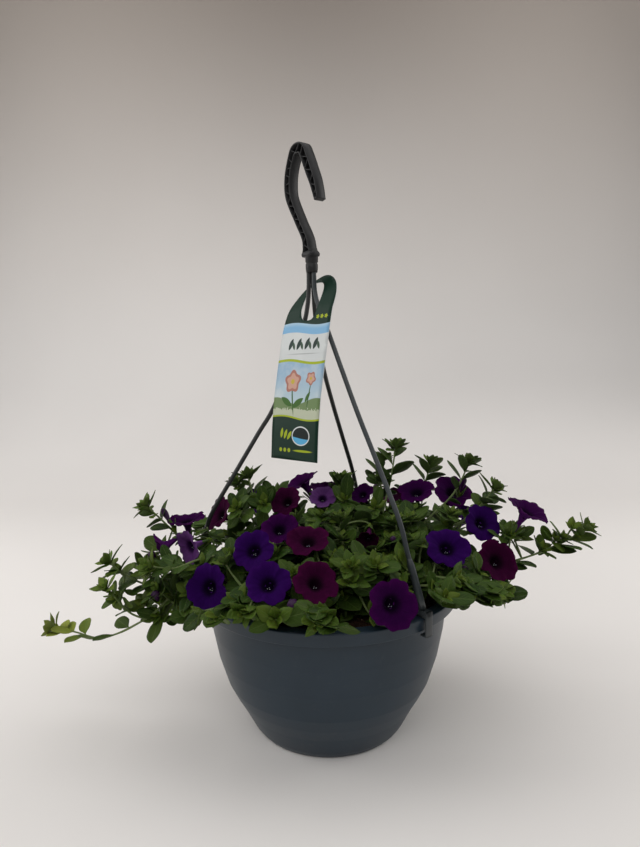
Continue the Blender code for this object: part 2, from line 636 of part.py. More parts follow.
def try_leaf(leaf, stem, crowd, rng, tries, skip):
    """Keeps a leaf if it is clear; if not, turns and shrinks it a little and tries again."""
    for trial in range(tries):
        test = dict(leaf)
        if trial:
            turn = rng.uniform(-0.5, 0.5) * (1 + 0.15 * trial)
            axis = side_of(leaf["ahead"])
            axis = Matrix.Rotation(rng.uniform(0.0, 6.28), 3, leaf["ahead"]) @ axis
            rot = Matrix.Rotation(turn, 3, axis)
            test["ahead"] = rot @ leaf["ahead"]
            test["up"] = rot @ leaf["up"]
            test["size"] = leaf["size"] * (1.0 - 0.05 * trial)
            test["width"] = leaf["width"] * (1.0 - 0.05 * trial)
        mesh = leaf_mesh(test, GAP)
        if not crowd.clear(mesh, skip=skip):
            continue
        probe = dict(test)
        start = test["base"] + test["ahead"] * 0.0045
        probe["base"] = start
        probe["size"] = test["size"] - 0.0045
        if not crowd.clear(leaf_mesh(probe, 0.0002)):
            continue
        low = min(v.z for v in mesh[0])
        if low < 0.1445 and any(v.z < 0.1445 and math.hypot(v.x, v.y) < 0.1370 for v in mesh[0]):
            continue
        if low < 0.085:
            continue
        stem["leaves"].append(test)
        crowd.add(leaf_mesh(test), stem["name"], "leaf")
        return True
    return False


def thin_at(stem, path, share):
    """Radius of the stem or shoot at a share of its length."""
    if path is stem["path"]:
        return STEM_R + (STEM_TIP_R - STEM_R) * share
    return 0.0010


def dress_tip(stem, path, size, crowd, rng, low_share):
    """Leaves along a shoot, small and close at the tip, larger and further apart below."""
    total = length_of(path)
    spin = rng.uniform(0.0, 6.28)
    steps = ((0.0012, 0.34, 22), (0.0030, 0.46, 34), (0.0060, 0.60, 44), (0.0120, 0.78, 52),
             (0.0210, 0.92, 58), (0.0330, 1.0, 62), (0.0480, 1.0, 66), (0.0650, 1.0, 68),
             (0.0840, 1.0, 70), (0.1050, 1.0, 70))
    for i, (back, share, angle) in enumerate(steps):
        at = 1.0 - back / total
        if at < low_share:
            break
        base, way = point_on(path, at)
        spin += 1.57 + rng.uniform(-0.25, 0.25)
        pair = 2 if i < 6 else 1
        for k in range(pair):
            turn = spin + math.pi * k
            out = through_face(path, at, Matrix.Rotation(turn, 3, way) @ side_of(way), 4)
            a = math.radians(angle + rng.uniform(-8, 8))
            ahead = (way * math.cos(a) + out * math.sin(a)).normalized()
            ahead = (ahead + Vector((0, 0, 0.18))).normalized()
            up = (way - ahead * way.dot(ahead)).normalized()
            length = size * share * rng.uniform(0.88, 1.12)
            leaf = {"base": base + out * (0.25 * thin_at(stem, path, at)), "ahead": ahead, "up": up,
                    "size": length, "width": length * rng.uniform(0.50, 0.62),
                    "droop": rng.uniform(0.02, 0.16), "small": i < 2, "age": share, "seed": rng.random(),
                    "solid": i in SOLID_STEPS}
            near = ((stem["name"], "stem"), (stem["name"], "shoot"))
            if i < 3:
                near = near + ((stem["name"], "leaf"),)
            try_leaf(leaf, stem, crowd, rng, 3 if i < 3 else 7, near)


def fill_canopy(stems, crowd, rng):
    """Side branches with a whorl of leaves each, spread evenly over the dome of the canopy."""
    golden = math.pi * (3.0 - math.sqrt(5.0))
    for i in range(FILL_COUNT):
        z = 1.0 - 1.12 * (i + 0.5) / FILL_COUNT
        r = math.sqrt(max(0.0, 1.0 - z * z))
        a = golden * i
        out = Vector((r * math.cos(a), r * math.sin(a), z))
        depth = rng.uniform(0.74, 1.0)
        spot = CANOPY_MID + out * CANOPY_HALF * depth
        normal = Vector([out[k] / CANOPY_HALF[k] for k in range(3)]).normalized()
        normal = (normal + Vector((0, 0, 0.45))).normalized()
        found = []
        for stem in stems:
            for share in (0.3, 0.4, 0.5, 0.6, 0.7, 0.8, 0.9):
                start, way = point_on(stem["path"], share)
                gap = spot - start
                if 0.008 < gap.length < 0.060:
                    cost = gap.length + 0.01 * len(stem["leaves"]) / 12
                    found.append((cost, stem["name"], share, stem, start))
        found.sort(key=lambda item: item[:3])
        for cost, name, share, stem, start in found[:6]:
            path = spline([start, start.lerp(spot, 0.5) - normal * 0.004, spot - normal * 0.007, spot], 4)
            if not crowd.clear(tube(path, 0.0014, 3), skip=((name, "stem"),)):
                continue
            solid = depth > SOLID_DEPTH
            stem["shoots"].append({"path": path, "radii": [0.0011, 0.0011, 0.0010, 0.0009], "tip": False,
                                   "solid": solid})
            crowd.add(tube(path, 0.0011, 3), name, "shoot")
            turn = rng.uniform(0.0, 6.28)
            for k in range(3):
                at = 1.0 - (0.0016 + 0.0022 * k) / length_of(path)
                base, way = point_on(path, at)
                side = through_face(path, at, Matrix.Rotation(turn + 2.09 * k, 3, way) @ side_of(way), 3)
                tilt = math.radians(rng.uniform(18, 48))
                ahead = (side * math.cos(tilt) + way * math.sin(tilt)).normalized()
                up = (way - ahead * way.dot(ahead)).normalized()
                length = rng.uniform(0.024, 0.034)
                leaf = {"base": base, "ahead": ahead, "up": up, "size": length,
                        "width": length * rng.uniform(0.54, 0.66), "droop": rng.uniform(0.05, 0.22),
                        "small": False, "age": 1.0, "seed": rng.random(), "solid": solid}
                try_leaf(leaf, stem, crowd, rng, 8, ((name, "shoot"),))
            break


# Colours of the solids, as linear RGB.
COLOURS = {
    "pot": (0.035, 0.045, 0.052), "hanger": (0.022, 0.024, 0.026), "tag": (0.60, 0.66, 0.64),
    "soil": (0.045, 0.026, 0.015), "reservoir_plate": (0.03, 0.03, 0.03), "leafy": (0.062, 0.125, 0.030),
    "violet": (0.030, 0.004, 0.145), "purple": (0.050, 0.003, 0.090), "wine": (0.075, 0.003, 0.040),
    "lilac": (0.180, 0.080, 0.300),
}


def material(name, colour, rough):
    mat = bpy.data.materials.new(name)
    mat.use_nodes = True
    node = mat.node_tree.nodes["Principled BSDF"]
    node.inputs["Base Color"].default_value = (colour[0], colour[1], colour[2], 1.0)
    node.inputs["Roughness"].default_value = rough
    return mat


def face_out(bm):
    """Turns a closed mesh's faces so that they point out."""
    bmesh.ops.recalc_face_normals(bm, faces=bm.faces)
    if bm.calc_volume(signed=True) < 0:
        bmesh.ops.reverse_faces(bm, faces=bm.faces)


def mesh_object(name, mesh, collection=None):
    """A new object from points and faces, its polygons cut into triangles."""
    data = bpy.data.meshes.new(name)
    data.from_pydata([tuple(v) for v in mesh[0]], [], [tuple(f) for f in mesh[1]])
    bm = bmesh.new()
    bm.from_mesh(data)
    face_out(bm)
    bmesh.ops.triangulate(bm, faces=bm.faces)
    bm.to_mesh(data)
    bm.free()
    obj = bpy.data.objects.new(name, data)
    (collection or bpy.context.scene.collection).objects.link(obj)
    return obj


def baked(obj):
    """Replaces the object's mesh with its evaluated one and drops the modifiers."""
    graph = bpy.context.evaluated_depsgraph_get()
    graph.update()
    made = bpy.data.meshes.new_from_object(obj.evaluated_get(graph))
    obj.modifiers.clear()
    old = obj.data
    obj.data = made
    bpy.data.meshes.remove(old)
    return obj


def fused(name, meshes, solver="MANIFOLD"):
    """One solid from closed meshes that overlap."""
    body = mesh_object(name, meshes[0])
    if len(meshes) == 1:
        return body
    group = bpy.data.collections.new(name + "_pieces")
    bpy.context.scene.collection.children.link(group)
    for i, mesh in enumerate(meshes[1:]):
        mesh_object(name + "_piece_" + str(i), mesh, group)
    union = body.modifiers.new("union", "BOOLEAN")
    union.operation = "UNION"
    union.operand_type = "COLLECTION"
    union.collection = group
    union.solver = solver
    baked(body)
    for obj in list(group.objects):
        data = obj.data
        bpy.data.objects.remove(obj)
        bpy.data.meshes.remove(data)
    bpy.data.collections.remove(group)
    return body


def cut(body, meshes, solver="MANIFOLD"):
    """Takes closed meshes away from a solid."""
    group = bpy.data.collections.new(body.name + "_cutters")
    bpy.context.scene.collection.children.link(group)
    for i, mesh in enumerate(meshes):
        obj = mesh_object(body.name + "_cutter_" + str(i), mesh, group)
        obj.hide_render = True
        obj.display_type = "WIRE"
    knife = body.modifiers.new("cut", "BOOLEAN")
    knife.operation = "DIFFERENCE"
    knife.operand_type = "COLLECTION"
    knife.collection = group
    knife.solver = solver
    baked(body)
    for obj in list(group.objects):
        data = obj.data
        bpy.data.objects.remove(obj)
        bpy.data.meshes.remove(data)
    bpy.data.collections.remove(group)
    return body


def revolved(name, profile, steps):
    """Solid of revolution from a profile that starts and ends on the axis."""
    data = bpy.data.meshes.new(name)
    points = [(r, 0.0, z) for r, z in profile]
    data.from_pydata(points, [(i, i + 1) for i in range(len(points) - 1)], [])
    obj = bpy.data.objects.new(name, data)
    bpy.context.scene.collection.objects.link(obj)
    screw = obj.modifiers.new("screw", "SCREW")
    screw.steps = steps
    screw.render_steps = steps
    screw.axis = "Z"
    screw.use_merge_vertices = True
    screw.merge_threshold = 0.0001
    screw.use_normal_calculate = True
    baked(obj)
    bm = bmesh.new()
    bm.from_mesh(obj.data)
    bmesh.ops.remove_doubles(bm, verts=bm.verts, dist=0.00002)
    face_out(bm)
    bm.to_mesh(obj.data)
    bm.free()
    return obj


def finish(obj, mat, smooth=False):
    obj.data.materials.clear()
    obj.data.materials.append(mat)
    for face in obj.data.polygons:
        face.use_smooth = smooth
    return obj


def make_pot():
    profile = POT_OUTER + POT_RIM + POT_INNER
    pot = revolved("pot", list(reversed(profile)), POT_STEPS)
    holes = []
    for azimuth in (62.0, 118.0):
        out = along(azimuth)
        a = out * 0.085 + Vector((0, 0, 0.0405))
        b = out * 0.112 + Vector((0, 0, 0.0405))
        holes.append(tube([a, b], 0.0035, 8))
    return cut(pot, holes)


def make_plate():
    """The perforated false floor over the water, on four legs."""
    low = 0.0462
    high = 0.0478
    steps = 22
    pieces = [tube([Vector((0, 0, low)), Vector((0, 0, high))], 0.0958, steps)]
    for k in range(4):
        c = along(45.0 + 90.0 * k) * 0.048
        top = c + Vector((0, 0, high - 0.0004))
        foot = c + Vector((0, 0, 0.0024))
        pieces.append(tube([foot, top], [0.0060, 0.0100], 8))
    plate = fused("reservoir_plate", pieces)
    cuts = []
    for k in range(6):
        c = along(60.0 * k + 15.0) * (0.078 if k % 2 else 0.020)
        cuts.append(tube([c + Vector((0, 0, low - 0.003)), c + Vector((0, 0, high + 0.003))], 0.0032, 6))
    return cut(plate, cuts)


def make_soil():
    """Potting soil with an uneven top and a plain hole for each stem."""
    steps = 22
    rng = random.Random(5)
    rings = ((0.0974, 0.0482), (0.1008, 0.0540), (0.1086, 0.0810), (0.1152, 0.1080), (0.1186, 0.1385),
             (0.1100, SOIL_TOP), (0.0650, SOIL_TOP + 0.0010), (0.0300, SOIL_TOP + 0.0012))
    verts = [Vector((0, 0, 0.0482))]
    for i, (r, z) in enumerate(rings):
        for k in range(steps):
            a = 2 * math.pi * k / steps
            lift = rng.uniform(-0.0012, 0.0012) if i > 4 else 0.0
            verts.append(Vector((r * math.cos(a), r * math.sin(a), z + lift)))
    verts.append(Vector((0, 0, SOIL_TOP + 0.0010)))
    top = len(verts) - 1
    faces = []
    for k in range(steps):
        n = (k + 1) % steps
        faces.append((0, 1 + n, 1 + k))
        for i in range(len(rings) - 1):
            a = 1 + i * steps
            faces.append((a + k, a + n, a + steps + n, a + steps + k))
        a = 1 + (len(rings) - 1) * steps
        faces.append((a + k, a + n, top))
    soil = mesh_object("soil", (verts, faces))
    holes = []
    for spot in root_spots():
        low = Vector((spot.x, spot.y, STEM_LOW - 0.0008))
        holes.append(tube([low, low + Vector((0, 0, 0.026))], 0.0030, 5))
    return cut(soil, holes)


HOOK_TURN = -50.0
HOOK_WIDE = 0.0112
HOOK_FLANGE = 0.0016
HOOK_WEB = 0.0018
# Stations of the hook's middle line: place across and height in its plane, and depth of the section.
HOOK_PATH = (
    (-0.0022, 0.4815, 0.0120), (-0.0028, 0.4860, 0.0092), (-0.0040, 0.4930, 0.0080),
    (-0.0077, 0.5006, 0.0076), (-0.0131, 0.5090, 0.0076), (-0.0184, 0.5179, 0.0078),
    (-0.0235, 0.5264, 0.0082), (-0.0281, 0.5350, 0.0086), (-0.0305, 0.5421, 0.0089),
    (-0.0311, 0.5504, 0.0092), (-0.0301, 0.5599, 0.0090), (-0.0275, 0.5685, 0.0088),
    (-0.0247, 0.5748, 0.0092), (-0.0225, 0.5790, 0.0096), (-0.0211, 0.5807, 0.0100),
    (-0.0190, 0.5820, 0.0104), (-0.0168, 0.5824, 0.0106), (-0.0132, 0.5824, 0.0106),
    (-0.0110, 0.5820, 0.0104), (-0.0089, 0.5807, 0.0100), (-0.0075, 0.5790, 0.0096),
    (-0.0053, 0.5750, 0.0094), (-0.0009, 0.5660, 0.0096), (0.0035, 0.5565, 0.0094),
    (0.0078, 0.5476, 0.0086), (0.0112, 0.5378, 0.0070), (0.0136, 0.5294, 0.0052),
)
# The two stations between which the section lies level, as the seat for a rail.
HOOK_SEAT = (16, 17)
HOOK_RIBS = (3.8, 5.4, 7.0, 8.6, 10.2, 11.8, 21.4, 22.2, 23.1, 24.0)


def hook_frame(k):
    """Centre, in-plane normal and direction of the hook's path at a station."""
    i = min(int(k), len(HOOK_PATH) - 2)
    t = k - i
    a = HOOK_PATH[i]
    b = HOOK_PATH[i + 1]
    flat = along(HOOK_TURN)
    up = Vector((0, 0, 1))
    lo = HOOK_PATH[max(i - 1, 0)] if t < 0.5 else a
    hi = b if t < 0.5 else HOOK_PATH[min(i + 2, len(HOOK_PATH) - 1)]
    way = (flat * (hi[0] - lo[0]) + up * (hi[1] - lo[1])).normalized()
    if k in HOOK_SEAT:
        way = flat
    mid = NECK + flat * (a[0] + (b[0] - a[0]) * t) + up * (a[1] + (b[1] - a[1]) * t)
    across = along(HOOK_TURN + 90.0)
    return mid, way.cross(across).normalized(), way, a[2] + (b[2] - a[2]) * t


def make_hanger():
    across = along(HOOK_TURN + 90.0)
    verts = []
    w = HOOK_WIDE * 0.5
    web = HOOK_WEB * 0.5
    for k in range(len(HOOK_PATH)):
        mid, out, way, tall = hook_frame(float(k))
        h = tall * 0.5
        f = h - HOOK_FLANGE
        for n, m in ((-w, -h), (w, -h), (w, -f), (web, -f), (web, f), (w, f),
                     (w, h), (-w, h), (-w, f), (-web, f), (-web, -f), (-w, -f)):
            verts.append(mid + across * n + out * m)
    faces = [tuple(range(11, -1, -1))]
    for k in range(len(HOOK_PATH) - 1):
        for j in range(12):
            n = (j + 1) % 12
            faces.append((12 * k + j, 12 * k + n, 12 * k + 12 + n, 12 * k + 12 + j))
    last = 12 * (len(HOOK_PATH) - 1)
    faces.append(tuple(range(last, last + 12)))
    pieces = [(verts, faces)]
    for i, k in enumerate(HOOK_RIBS):
        mid, out, way, tall = hook_frame(k)
        slant = (0.55, -0.55)[i % 2]
        lay = (out + way * slant).normalized()
        h = tall * 0.5 * math.sqrt(1 + slant * slant) - 0.0007
        thin = (way - lay * way.dot(lay)).normalized() * 0.0006
        wide = across * (w - 0.0004)
        box = []
        for a in (-1, 1):
            for b, c in ((-1, -1), (1, -1), (1, 1), (-1, 1)):
                box.append(mid + thin * a + lay * (h * b) + wide * c)
        pieces.append((box, BOX_FACES))
    for k, reach in ((0.0, 0.0012), (len(HOOK_PATH) - 1.0, 0.0020)):
        mid, out, way, tall = hook_frame(k)
        inward = way if k == 0.0 else -way
        box = []
        for a in (-0.0003, reach):
            for b, c in ((-1, -1), (1, -1), (1, 1), (-1, 1)):
                box.append(mid + inward * a + out * (tall * 0.5 * b) + across * (w * c))
        pieces.append((box, BOX_FACES))
    flat = along(HOOK_TURN)
    collar = []
    half = 0.0088
    edge = ((-1.0, -0.48), (-0.75, -0.75), (0.75, -0.75), (1.0, -0.48),
            (1.0, 0.48), (0.75, 0.75), (-0.75, 0.75), (-1.0, 0.48))
    for z, grow in ((0.4774, 0.0), (0.4793, 0.0004), (0.4822, -0.0006)):
        for b, c in edge:
            reach = half + grow
            collar.append(NECK + flat * (b * reach - 0.0015) + across * (c * reach) + Vector((0, 0, z)))
    rim = [tuple(range(7, -1, -1)), tuple(range(16, 24))]
    for j in range(2):
        for k in range(8):
            n = (k + 1) % 8
            rim.append((8 * j + k, 8 * j + n, 8 * j + 8 + n, 8 * j + 8 + k))
    pieces.append((collar, rim))
    neck = [NECK + Vector((0, 0, z)) for z in (0.4620, 0.4660, 0.4800)]
    pieces.append(tube(neck, [0.0056, 0.0060, 0.0064], 10))
    for azimuth, points in RODS:
        path = rod_path(azimuth, points)
        pieces.append(tube(path, ROD_R, 6))
        length = length_of(path)
        a, way = point_on(path, 1.0 - 0.047 / length)
        b, way = point_on(path, 1.0 - 0.040 / length)
        c, way = point_on(path, 1.0 - 0.020 / length)
        pieces.append(tube([a, b, c, path[-1]], [0.0024, ROD_FOOT_R, ROD_FOOT_R, ROD_FOOT_R], 6))
        end = path[-1]
        foot = math.degrees(math.atan2(end.y, end.x))
        for box in foot_boxes(path):
            pieces.append(polar_box(foot, *box))
    return fused("hanger", pieces)


def make_tag():
    """A thin card with a rounded top and a hole round the rods, bent to its lean."""
    data = bmesh.new()
    outer = [data.verts.new((h, s, 0.0)) for h, s in TAG_OUTLINE]
    h0, s0, rh, rs = TAG_HOLE
    inner = []
    for k in range(12):
        a = 2 * math.pi * (k + 0.5) / 12
        c = math.cos(a)
        s = math.sin(a)
        fat = (abs(c) ** 3 + abs(s) ** 3) ** (-1 / 3)
        inner.append(data.verts.new((h0 + rh * c * fat, s0 + rs * s * fat, 0.0)))
    edges = []
    for loop in (outer, inner):
        for k in range(len(loop)):
            edges.append(data.edges.new((loop[k], loop[(k + 1) % len(loop)])))
    bmesh.ops.triangle_fill(data, edges=edges, use_beauty=True)
    bmesh.ops.recalc_face_normals(data, faces=data.faces)
    sheet = list(data.faces)
    grown = bmesh.ops.extrude_face_region(data, geom=sheet)
    for item in grown["geom"]:
        if isinstance(item, bmesh.types.BMVert):
            item.co.z = TAG_THICK
    bmesh.ops.recalc_face_normals(data, faces=data.faces)
    for row in TAG_LEAN[1:-1]:
        bmesh.ops.bisect_plane(data, geom=list(data.verts) + list(data.edges) + list(data.faces),
                               plane_co=(0.0, row[0], 0.0), plane_no=(0.0, 1.0, 0.0))
    for vert in data.verts:
        vert.co = tag_point(vert.co.x, vert.co.y, vert.co.z)
    face_out(data)
    bmesh.ops.triangulate(data, faces=data.faces)
    mesh = bpy.data.meshes.new("tag")
    data.to_mesh(mesh)
    data.free()
    obj = bpy.data.objects.new("tag", mesh)
    bpy.context.scene.collection.objects.link(obj)
    return obj


def make_stem(stem):
    pieces = [tube(stem["path"], stem["radii"], 4)]
    for shoot in stem["shoots"]:
        if shoot["solid"]:
            pieces.append(tube(shoot["path"], shoot["radii"], 4 if shoot["tip"] else 3))
    for stalk in stem["stalks"]:
        pieces.append(tube(stalk, 0.0010, 3))
    for base, face, spin, scale in stem["calyces"]:
        pieces.append(calyx_mesh(base, face, spin, scale))
    for leaf in stem["leaves"]:
        if leaf["solid"]:
            pieces.append(leaf_mesh(leaf))
    return fused(stem["name"], pieces)


def main():
    for obj in list(bpy.data.objects):
        bpy.data.objects.remove(obj)
    mats = {name: material(name, colour, 0.6) for name, colour in COLOURS.items()}
    finish(make_pot(), mats["pot"], True)
    finish(make_plate(), mats["reservoir_plate"])
    finish(make_soil(), mats["soil"])
    finish(make_hanger(), mats["hanger"])
    finish(make_tag(), mats["tag"])
    stems, blooms, crowd = plan_plant()
    for stem in stems:
        finish(make_stem(stem), mats["leafy"])
    for bloom in blooms:
        finish(mesh_object(bloom["name"], bloom_mesh(bloom)), mats[bloom["colour"]])


main()
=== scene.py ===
import json
import math
import random

import bmesh
import bpy
from mathutils import Matrix, Vector, noise
from mathutils.bvhtree import BVHTree

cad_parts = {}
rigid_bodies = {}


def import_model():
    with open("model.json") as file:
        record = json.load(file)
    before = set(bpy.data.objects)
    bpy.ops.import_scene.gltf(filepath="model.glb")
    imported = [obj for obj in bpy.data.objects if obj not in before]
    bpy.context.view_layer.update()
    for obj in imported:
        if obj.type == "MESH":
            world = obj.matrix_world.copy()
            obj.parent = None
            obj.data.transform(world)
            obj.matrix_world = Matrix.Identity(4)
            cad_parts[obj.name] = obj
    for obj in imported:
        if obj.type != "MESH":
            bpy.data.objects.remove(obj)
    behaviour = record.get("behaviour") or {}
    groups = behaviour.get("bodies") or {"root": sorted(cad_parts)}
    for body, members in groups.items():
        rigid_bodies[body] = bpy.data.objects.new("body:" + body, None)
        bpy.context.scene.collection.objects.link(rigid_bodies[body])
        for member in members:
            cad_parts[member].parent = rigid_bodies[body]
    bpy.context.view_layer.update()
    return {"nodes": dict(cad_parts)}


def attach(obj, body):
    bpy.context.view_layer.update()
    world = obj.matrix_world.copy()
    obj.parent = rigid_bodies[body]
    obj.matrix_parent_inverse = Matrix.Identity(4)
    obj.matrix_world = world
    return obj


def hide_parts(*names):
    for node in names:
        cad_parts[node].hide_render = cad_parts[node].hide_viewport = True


for old in list(bpy.data.objects):
    bpy.data.objects.remove(old)
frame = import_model()

# All sizes are in metres. The origin is the centre of the pot's flat base, +Z up,
# and -Y is the front of the basket.

# Pot: outer wall from the base up, rim skirt, then the inner wall down to the floor.
POT_OUTER = (
    (0.0, 0.0), (0.0740, 0.0), (0.0767, 0.0012), (0.0806, 0.0065), (0.0911, 0.0270),
    (0.0985, 0.0400), (0.1055, 0.0540), (0.1138, 0.0810), (0.1190, 0.1080), (0.1240, 0.1492),
)
POT_RIM = (
    (0.1322, 0.1492), (0.1302, 0.1380), (0.1318, 0.1380), (0.1347, 0.1503),
    (0.1340, 0.1512), (0.1232, 0.1512),
)
POT_INNER = (
    (0.1172, 0.1080), (0.1037, 0.0540), (0.0893, 0.0270),
    (0.0781, 0.0060), (0.0750, 0.0020), (0.0, 0.0020),
)
# Lowest height a leaf may have over the soil, and anywhere.
SOIL_LIMIT = 0.1445
LEAF_FLOOR = 0.085

# Drain holes on the side away from the front.
DRAINS = (62.0, 118.0)
DRAIN_Z = 0.0405
DRAIN_R = 0.0035

# Hanger: a neck above the pot, three rods that spread to the rim, and a hook in a turned plane.
NECK = Vector((-0.012, 0.0, 0.0))
ROD_R = 0.0023
ROD_FOOT_R = 0.0034
RODS = (
    (173.0, ((0.0032, 0.4740), (0.0032, 0.4500), (0.0048, 0.4300), (0.0098, 0.4080),
             (0.0228, 0.3720), (0.0413, 0.3282), (0.0574, 0.3024), (0.0835, 0.2600),
             (0.1076, 0.2206), (0.1155, 0.2010), (0.1182, 0.1800), (0.1185, 0.1560))),
    (64.0, ((0.0032, 0.4740), (0.0032, 0.4500), (0.0048, 0.4300), (0.0098, 0.4080),
            (0.0225, 0.3700), (0.0450, 0.3300), (0.0720, 0.2880), (0.0985, 0.2467),
            (0.1190, 0.2040), (0.1300, 0.1780), (0.1346, 0.1640), (0.1353, 0.1560))),
    (-46.5, ((0.0032, 0.4740), (0.0032, 0.4500), (0.0060, 0.4360), (0.0110, 0.4260),
             (0.0238, 0.4007), (0.0420, 0.3640), (0.0616, 0.3253), (0.0870, 0.2790),
             (0.1112, 0.2334), (0.1210, 0.2049), (0.1310, 0.1780), (0.1388, 0.1560))),
)
FOOT_TOP = 0.1572
FOOT_LOW = 0.1515
FOOT_IN = 0.1180
FOOT_OUT = 0.1383

# Tag: a card hung on the rods, leaning forward and turned to the left.
TAG_TURN = -45.0
TAG_HALF = 0.033
TAG_THICK = 0.0006
TAG_TALL = 0.188
TAG_ROLL = math.radians(2.0)
TAG_LEAN = (
    (0.0000, -0.0345, 0.0060, 0.2800), (0.0300, -0.0318, 0.0050, 0.3099),
    (0.0600, -0.0272, 0.0038, 0.3395), (0.0900, -0.0206, 0.0027, 0.3688),
    (0.1180, -0.0140, 0.0016, 0.3960), (0.1350, -0.0098, 0.0010, 0.4125),
    (0.1490, -0.0062, 0.0006, 0.4260), (0.1640, 0.0012, 0.0003, 0.4390),
    (0.1790, 0.0087, 0.0000, 0.4520), (0.1880, 0.0132, 0.0000, 0.4598),
)
TAG_OUTLINE = (
    (-0.0330, 0.0000), (0.0330, 0.0000), (0.0330, 0.0600), (0.0330, 0.1400), (0.0325, 0.1560),
    (0.0300, 0.1680), (0.0250, 0.1780), (0.0180, 0.1845), (0.0100, 0.1878), (0.0020, 0.1872),
    (-0.0080, 0.1810), (-0.0180, 0.1700), (-0.0260, 0.1560), (-0.0310, 0.1400),
    (-0.0330, 0.1250), (-0.0330, 0.0600),
)
TAG_HOLE = (0.0006, 0.1590, 0.0112, 0.0212)

# The tables of the plants are in millimetres.
# Main stems: root plant, leaf length, and points from the canopy out to the tip.
PLANTS = ((-46, -22), (30, -50), (52, 20), (-10, 50))
STEMS = (
    (0, 26, ((-98, -44, 172), (-140, -48, 162), (-167, -47, 136), (-197, -40, 116), (-226, -34, 103),
             (-250, -30, 107), (-276, -30, 113))),
    (0, 30, ((-95, -22, 178), (-150, -27, 164), (-184, -30, 157), (-203, -30, 169), (-217, -30, 180))),
    (0, 26, ((-100, 6, 172), (-134, -2, 176), (-150, -2, 193), (-168, -4, 214), (-184, -4, 230))),
    (0, 30, ((-88, -40, 188), (-124, -56, 190), (-150, -74, 186), (-161, -82, 193))),
    (3, 30, ((-70, 34, 190), (-90, 44, 220), (-99, 46, 241))),
    (3, 30, ((-50, 40, 195), (-66, 44, 222), (-73, 45, 240))),
    (0, 34, ((-68, -80, 173), (-84, -110, 170), (-94, -129, 160))),
    (0, 34, ((-50, -88, 176), (-62, -122, 180), (-68, -144, 174))),
    (1, 34, ((-4, -95, 176), (-6, -130, 180), (-8, -154, 171))),
    (3, 30, ((12, 46, 195), (17, 50, 225), (18, 50, 244))),
    (2, 32, ((62, 52, 200), (74, 70, 240), (80, 78, 275))),
    (3, 32, ((44, 78, 195), (62, 92, 228), (70, 98, 258))),
    (2, 32, ((88, 62, 198), (112, 80, 228), (122, 88, 253))),
    (2, 30, ((104, 36, 195), (140, 44, 228), (157, 48, 262))),
    (2, 30, ((112, 14, 190), (152, 22, 207), (180, 26, 238))),
    (2, 28, ((104, -6, 180), (156, -16, 168), (194, -12, 171), (226, -4, 179), (252, 0, 189), (268, 0, 201))),
    (1, 34, ((92, -48, 178), (132, -62, 172), (160, -74, 160))),
    (1, 32, ((84, -76, 176), (122, -92, 172), (146, -100, 158))),
    (1, 30, ((48, -62, 172), (62, -80, 186), (69, -90, 198))),
    (1, 32, ((74, -84, 172), (98, -100, 180), (110, -106, 186))),
    (1, 32, ((22, -72, 172), (21, -92, 186), (20, -102, 198))),
    (1, 30, ((18, -40, 180), (14, -36, 204), (12, -34, 222))),
    (3, 34, ((-38, 90, 190), (-52, 122, 204), (-60, 140, 208))),
    (3, 34, ((12, 96, 190), (22, 134, 196), (30, 162, 188))),
    (2, 34, ((84, 90, 184), (112, 124, 184), (130, 146, 170))),
    (3, 34, ((-80, 72, 184), (-122, 92, 186), (-148, 104, 178))),
)
# Side shoots: stem, share of its length, and points out to the tip.
SIDE_SHOOTS = (("stem_01", 0.62, ((-192, -50, 136), (-202, -56, 152), (-210, -60, 166))),)
# Radii of stems, stalks, twigs and hairs; the lowest point of a stem, and how far its end may be lifted.
STEM_R = 0.0017
STEM_TIP_R = 0.0008
STALK_R = 0.0009
STALK_RADII = [0.0008, 0.0008, 0.0009, 0.0010, 0.0010]
TWIG_RADII = [0.0010, 0.0010, 0.0009, 0.0009, 0.0008]
HAIR_R = 0.00007
STEM_LOW = 0.1245
MOST_LIFT = 0.022

# Blooms: centre of the limb, facing azimuth and elevation, width, colour, openness.
BLOOMS = (
    ((-111, -85, 174), -117, 20, 45, "violet", 1.00),
    ((-68, -85, 209), -108, 39, 40, "violet", 1.00),
    ((-52, -125, 193), -102, 45, 41, "violet", 1.00),
    ((-9, -125, 192), -64, 46, 41, "wine", 0.92),
    ((-18, -70, 214), -89, 65, 41, "wine", 0.95),
    ((53, -140, 179), -72, 18, 44, "purple", 1.00),
    ((111, -70, 205), -80, 47, 43, "violet", 1.00),
    ((159, -10, 211), -66, 37, 42, "violet", 1.00),
    ((165, -45, 182), -73, 33, 43, "wine", 0.95),
    ((198, -30, 230), -26, 63, 46, "purple", 1.00),
    ((138, 50, 236), -72, 66, 44, "purple", 0.95),
    ((100, 60, 232), -112, 60, 42, "purple", 0.95),
    ((-26, 50, 244), -167, 63, 40, "purple", 0.85),
    ((-4, 26, 229), -86, 50, 29, "lilac", 0.55),
    ((-119, 26, 214), -143, 38, 40, "wine", 0.85),
    ((-149, 4, 212), -150, 78, 40, "purple", 0.85),
    ((-47, -30, 213), -86, 53, 38, "purple", 0.95),
    ((-136, -40, 197), -135, -5, 36, "lilac", 0.80),
    ((-164, -26, 193), -150, -25, 34, "purple", 0.65),
    ((-43, 20, 228), -120, 43, 36, "wine", 0.90),
    ((40, 46, 228), -121, 49, 27, "purple", 0.50),
    ((40, -36, 202), -100, -30, 24, "wine", 0.35),
    ((-90, 110, 212), 120, 45, 41, "violet", 1.00),
    ((0, 145, 214), 88, 50, 42, "purple", 1.00),
    ((86, 136, 204), 60, 40, 42, "wine", 1.00),
    ((168, 88, 190), 30, 30, 41, "violet", 1.00),
)
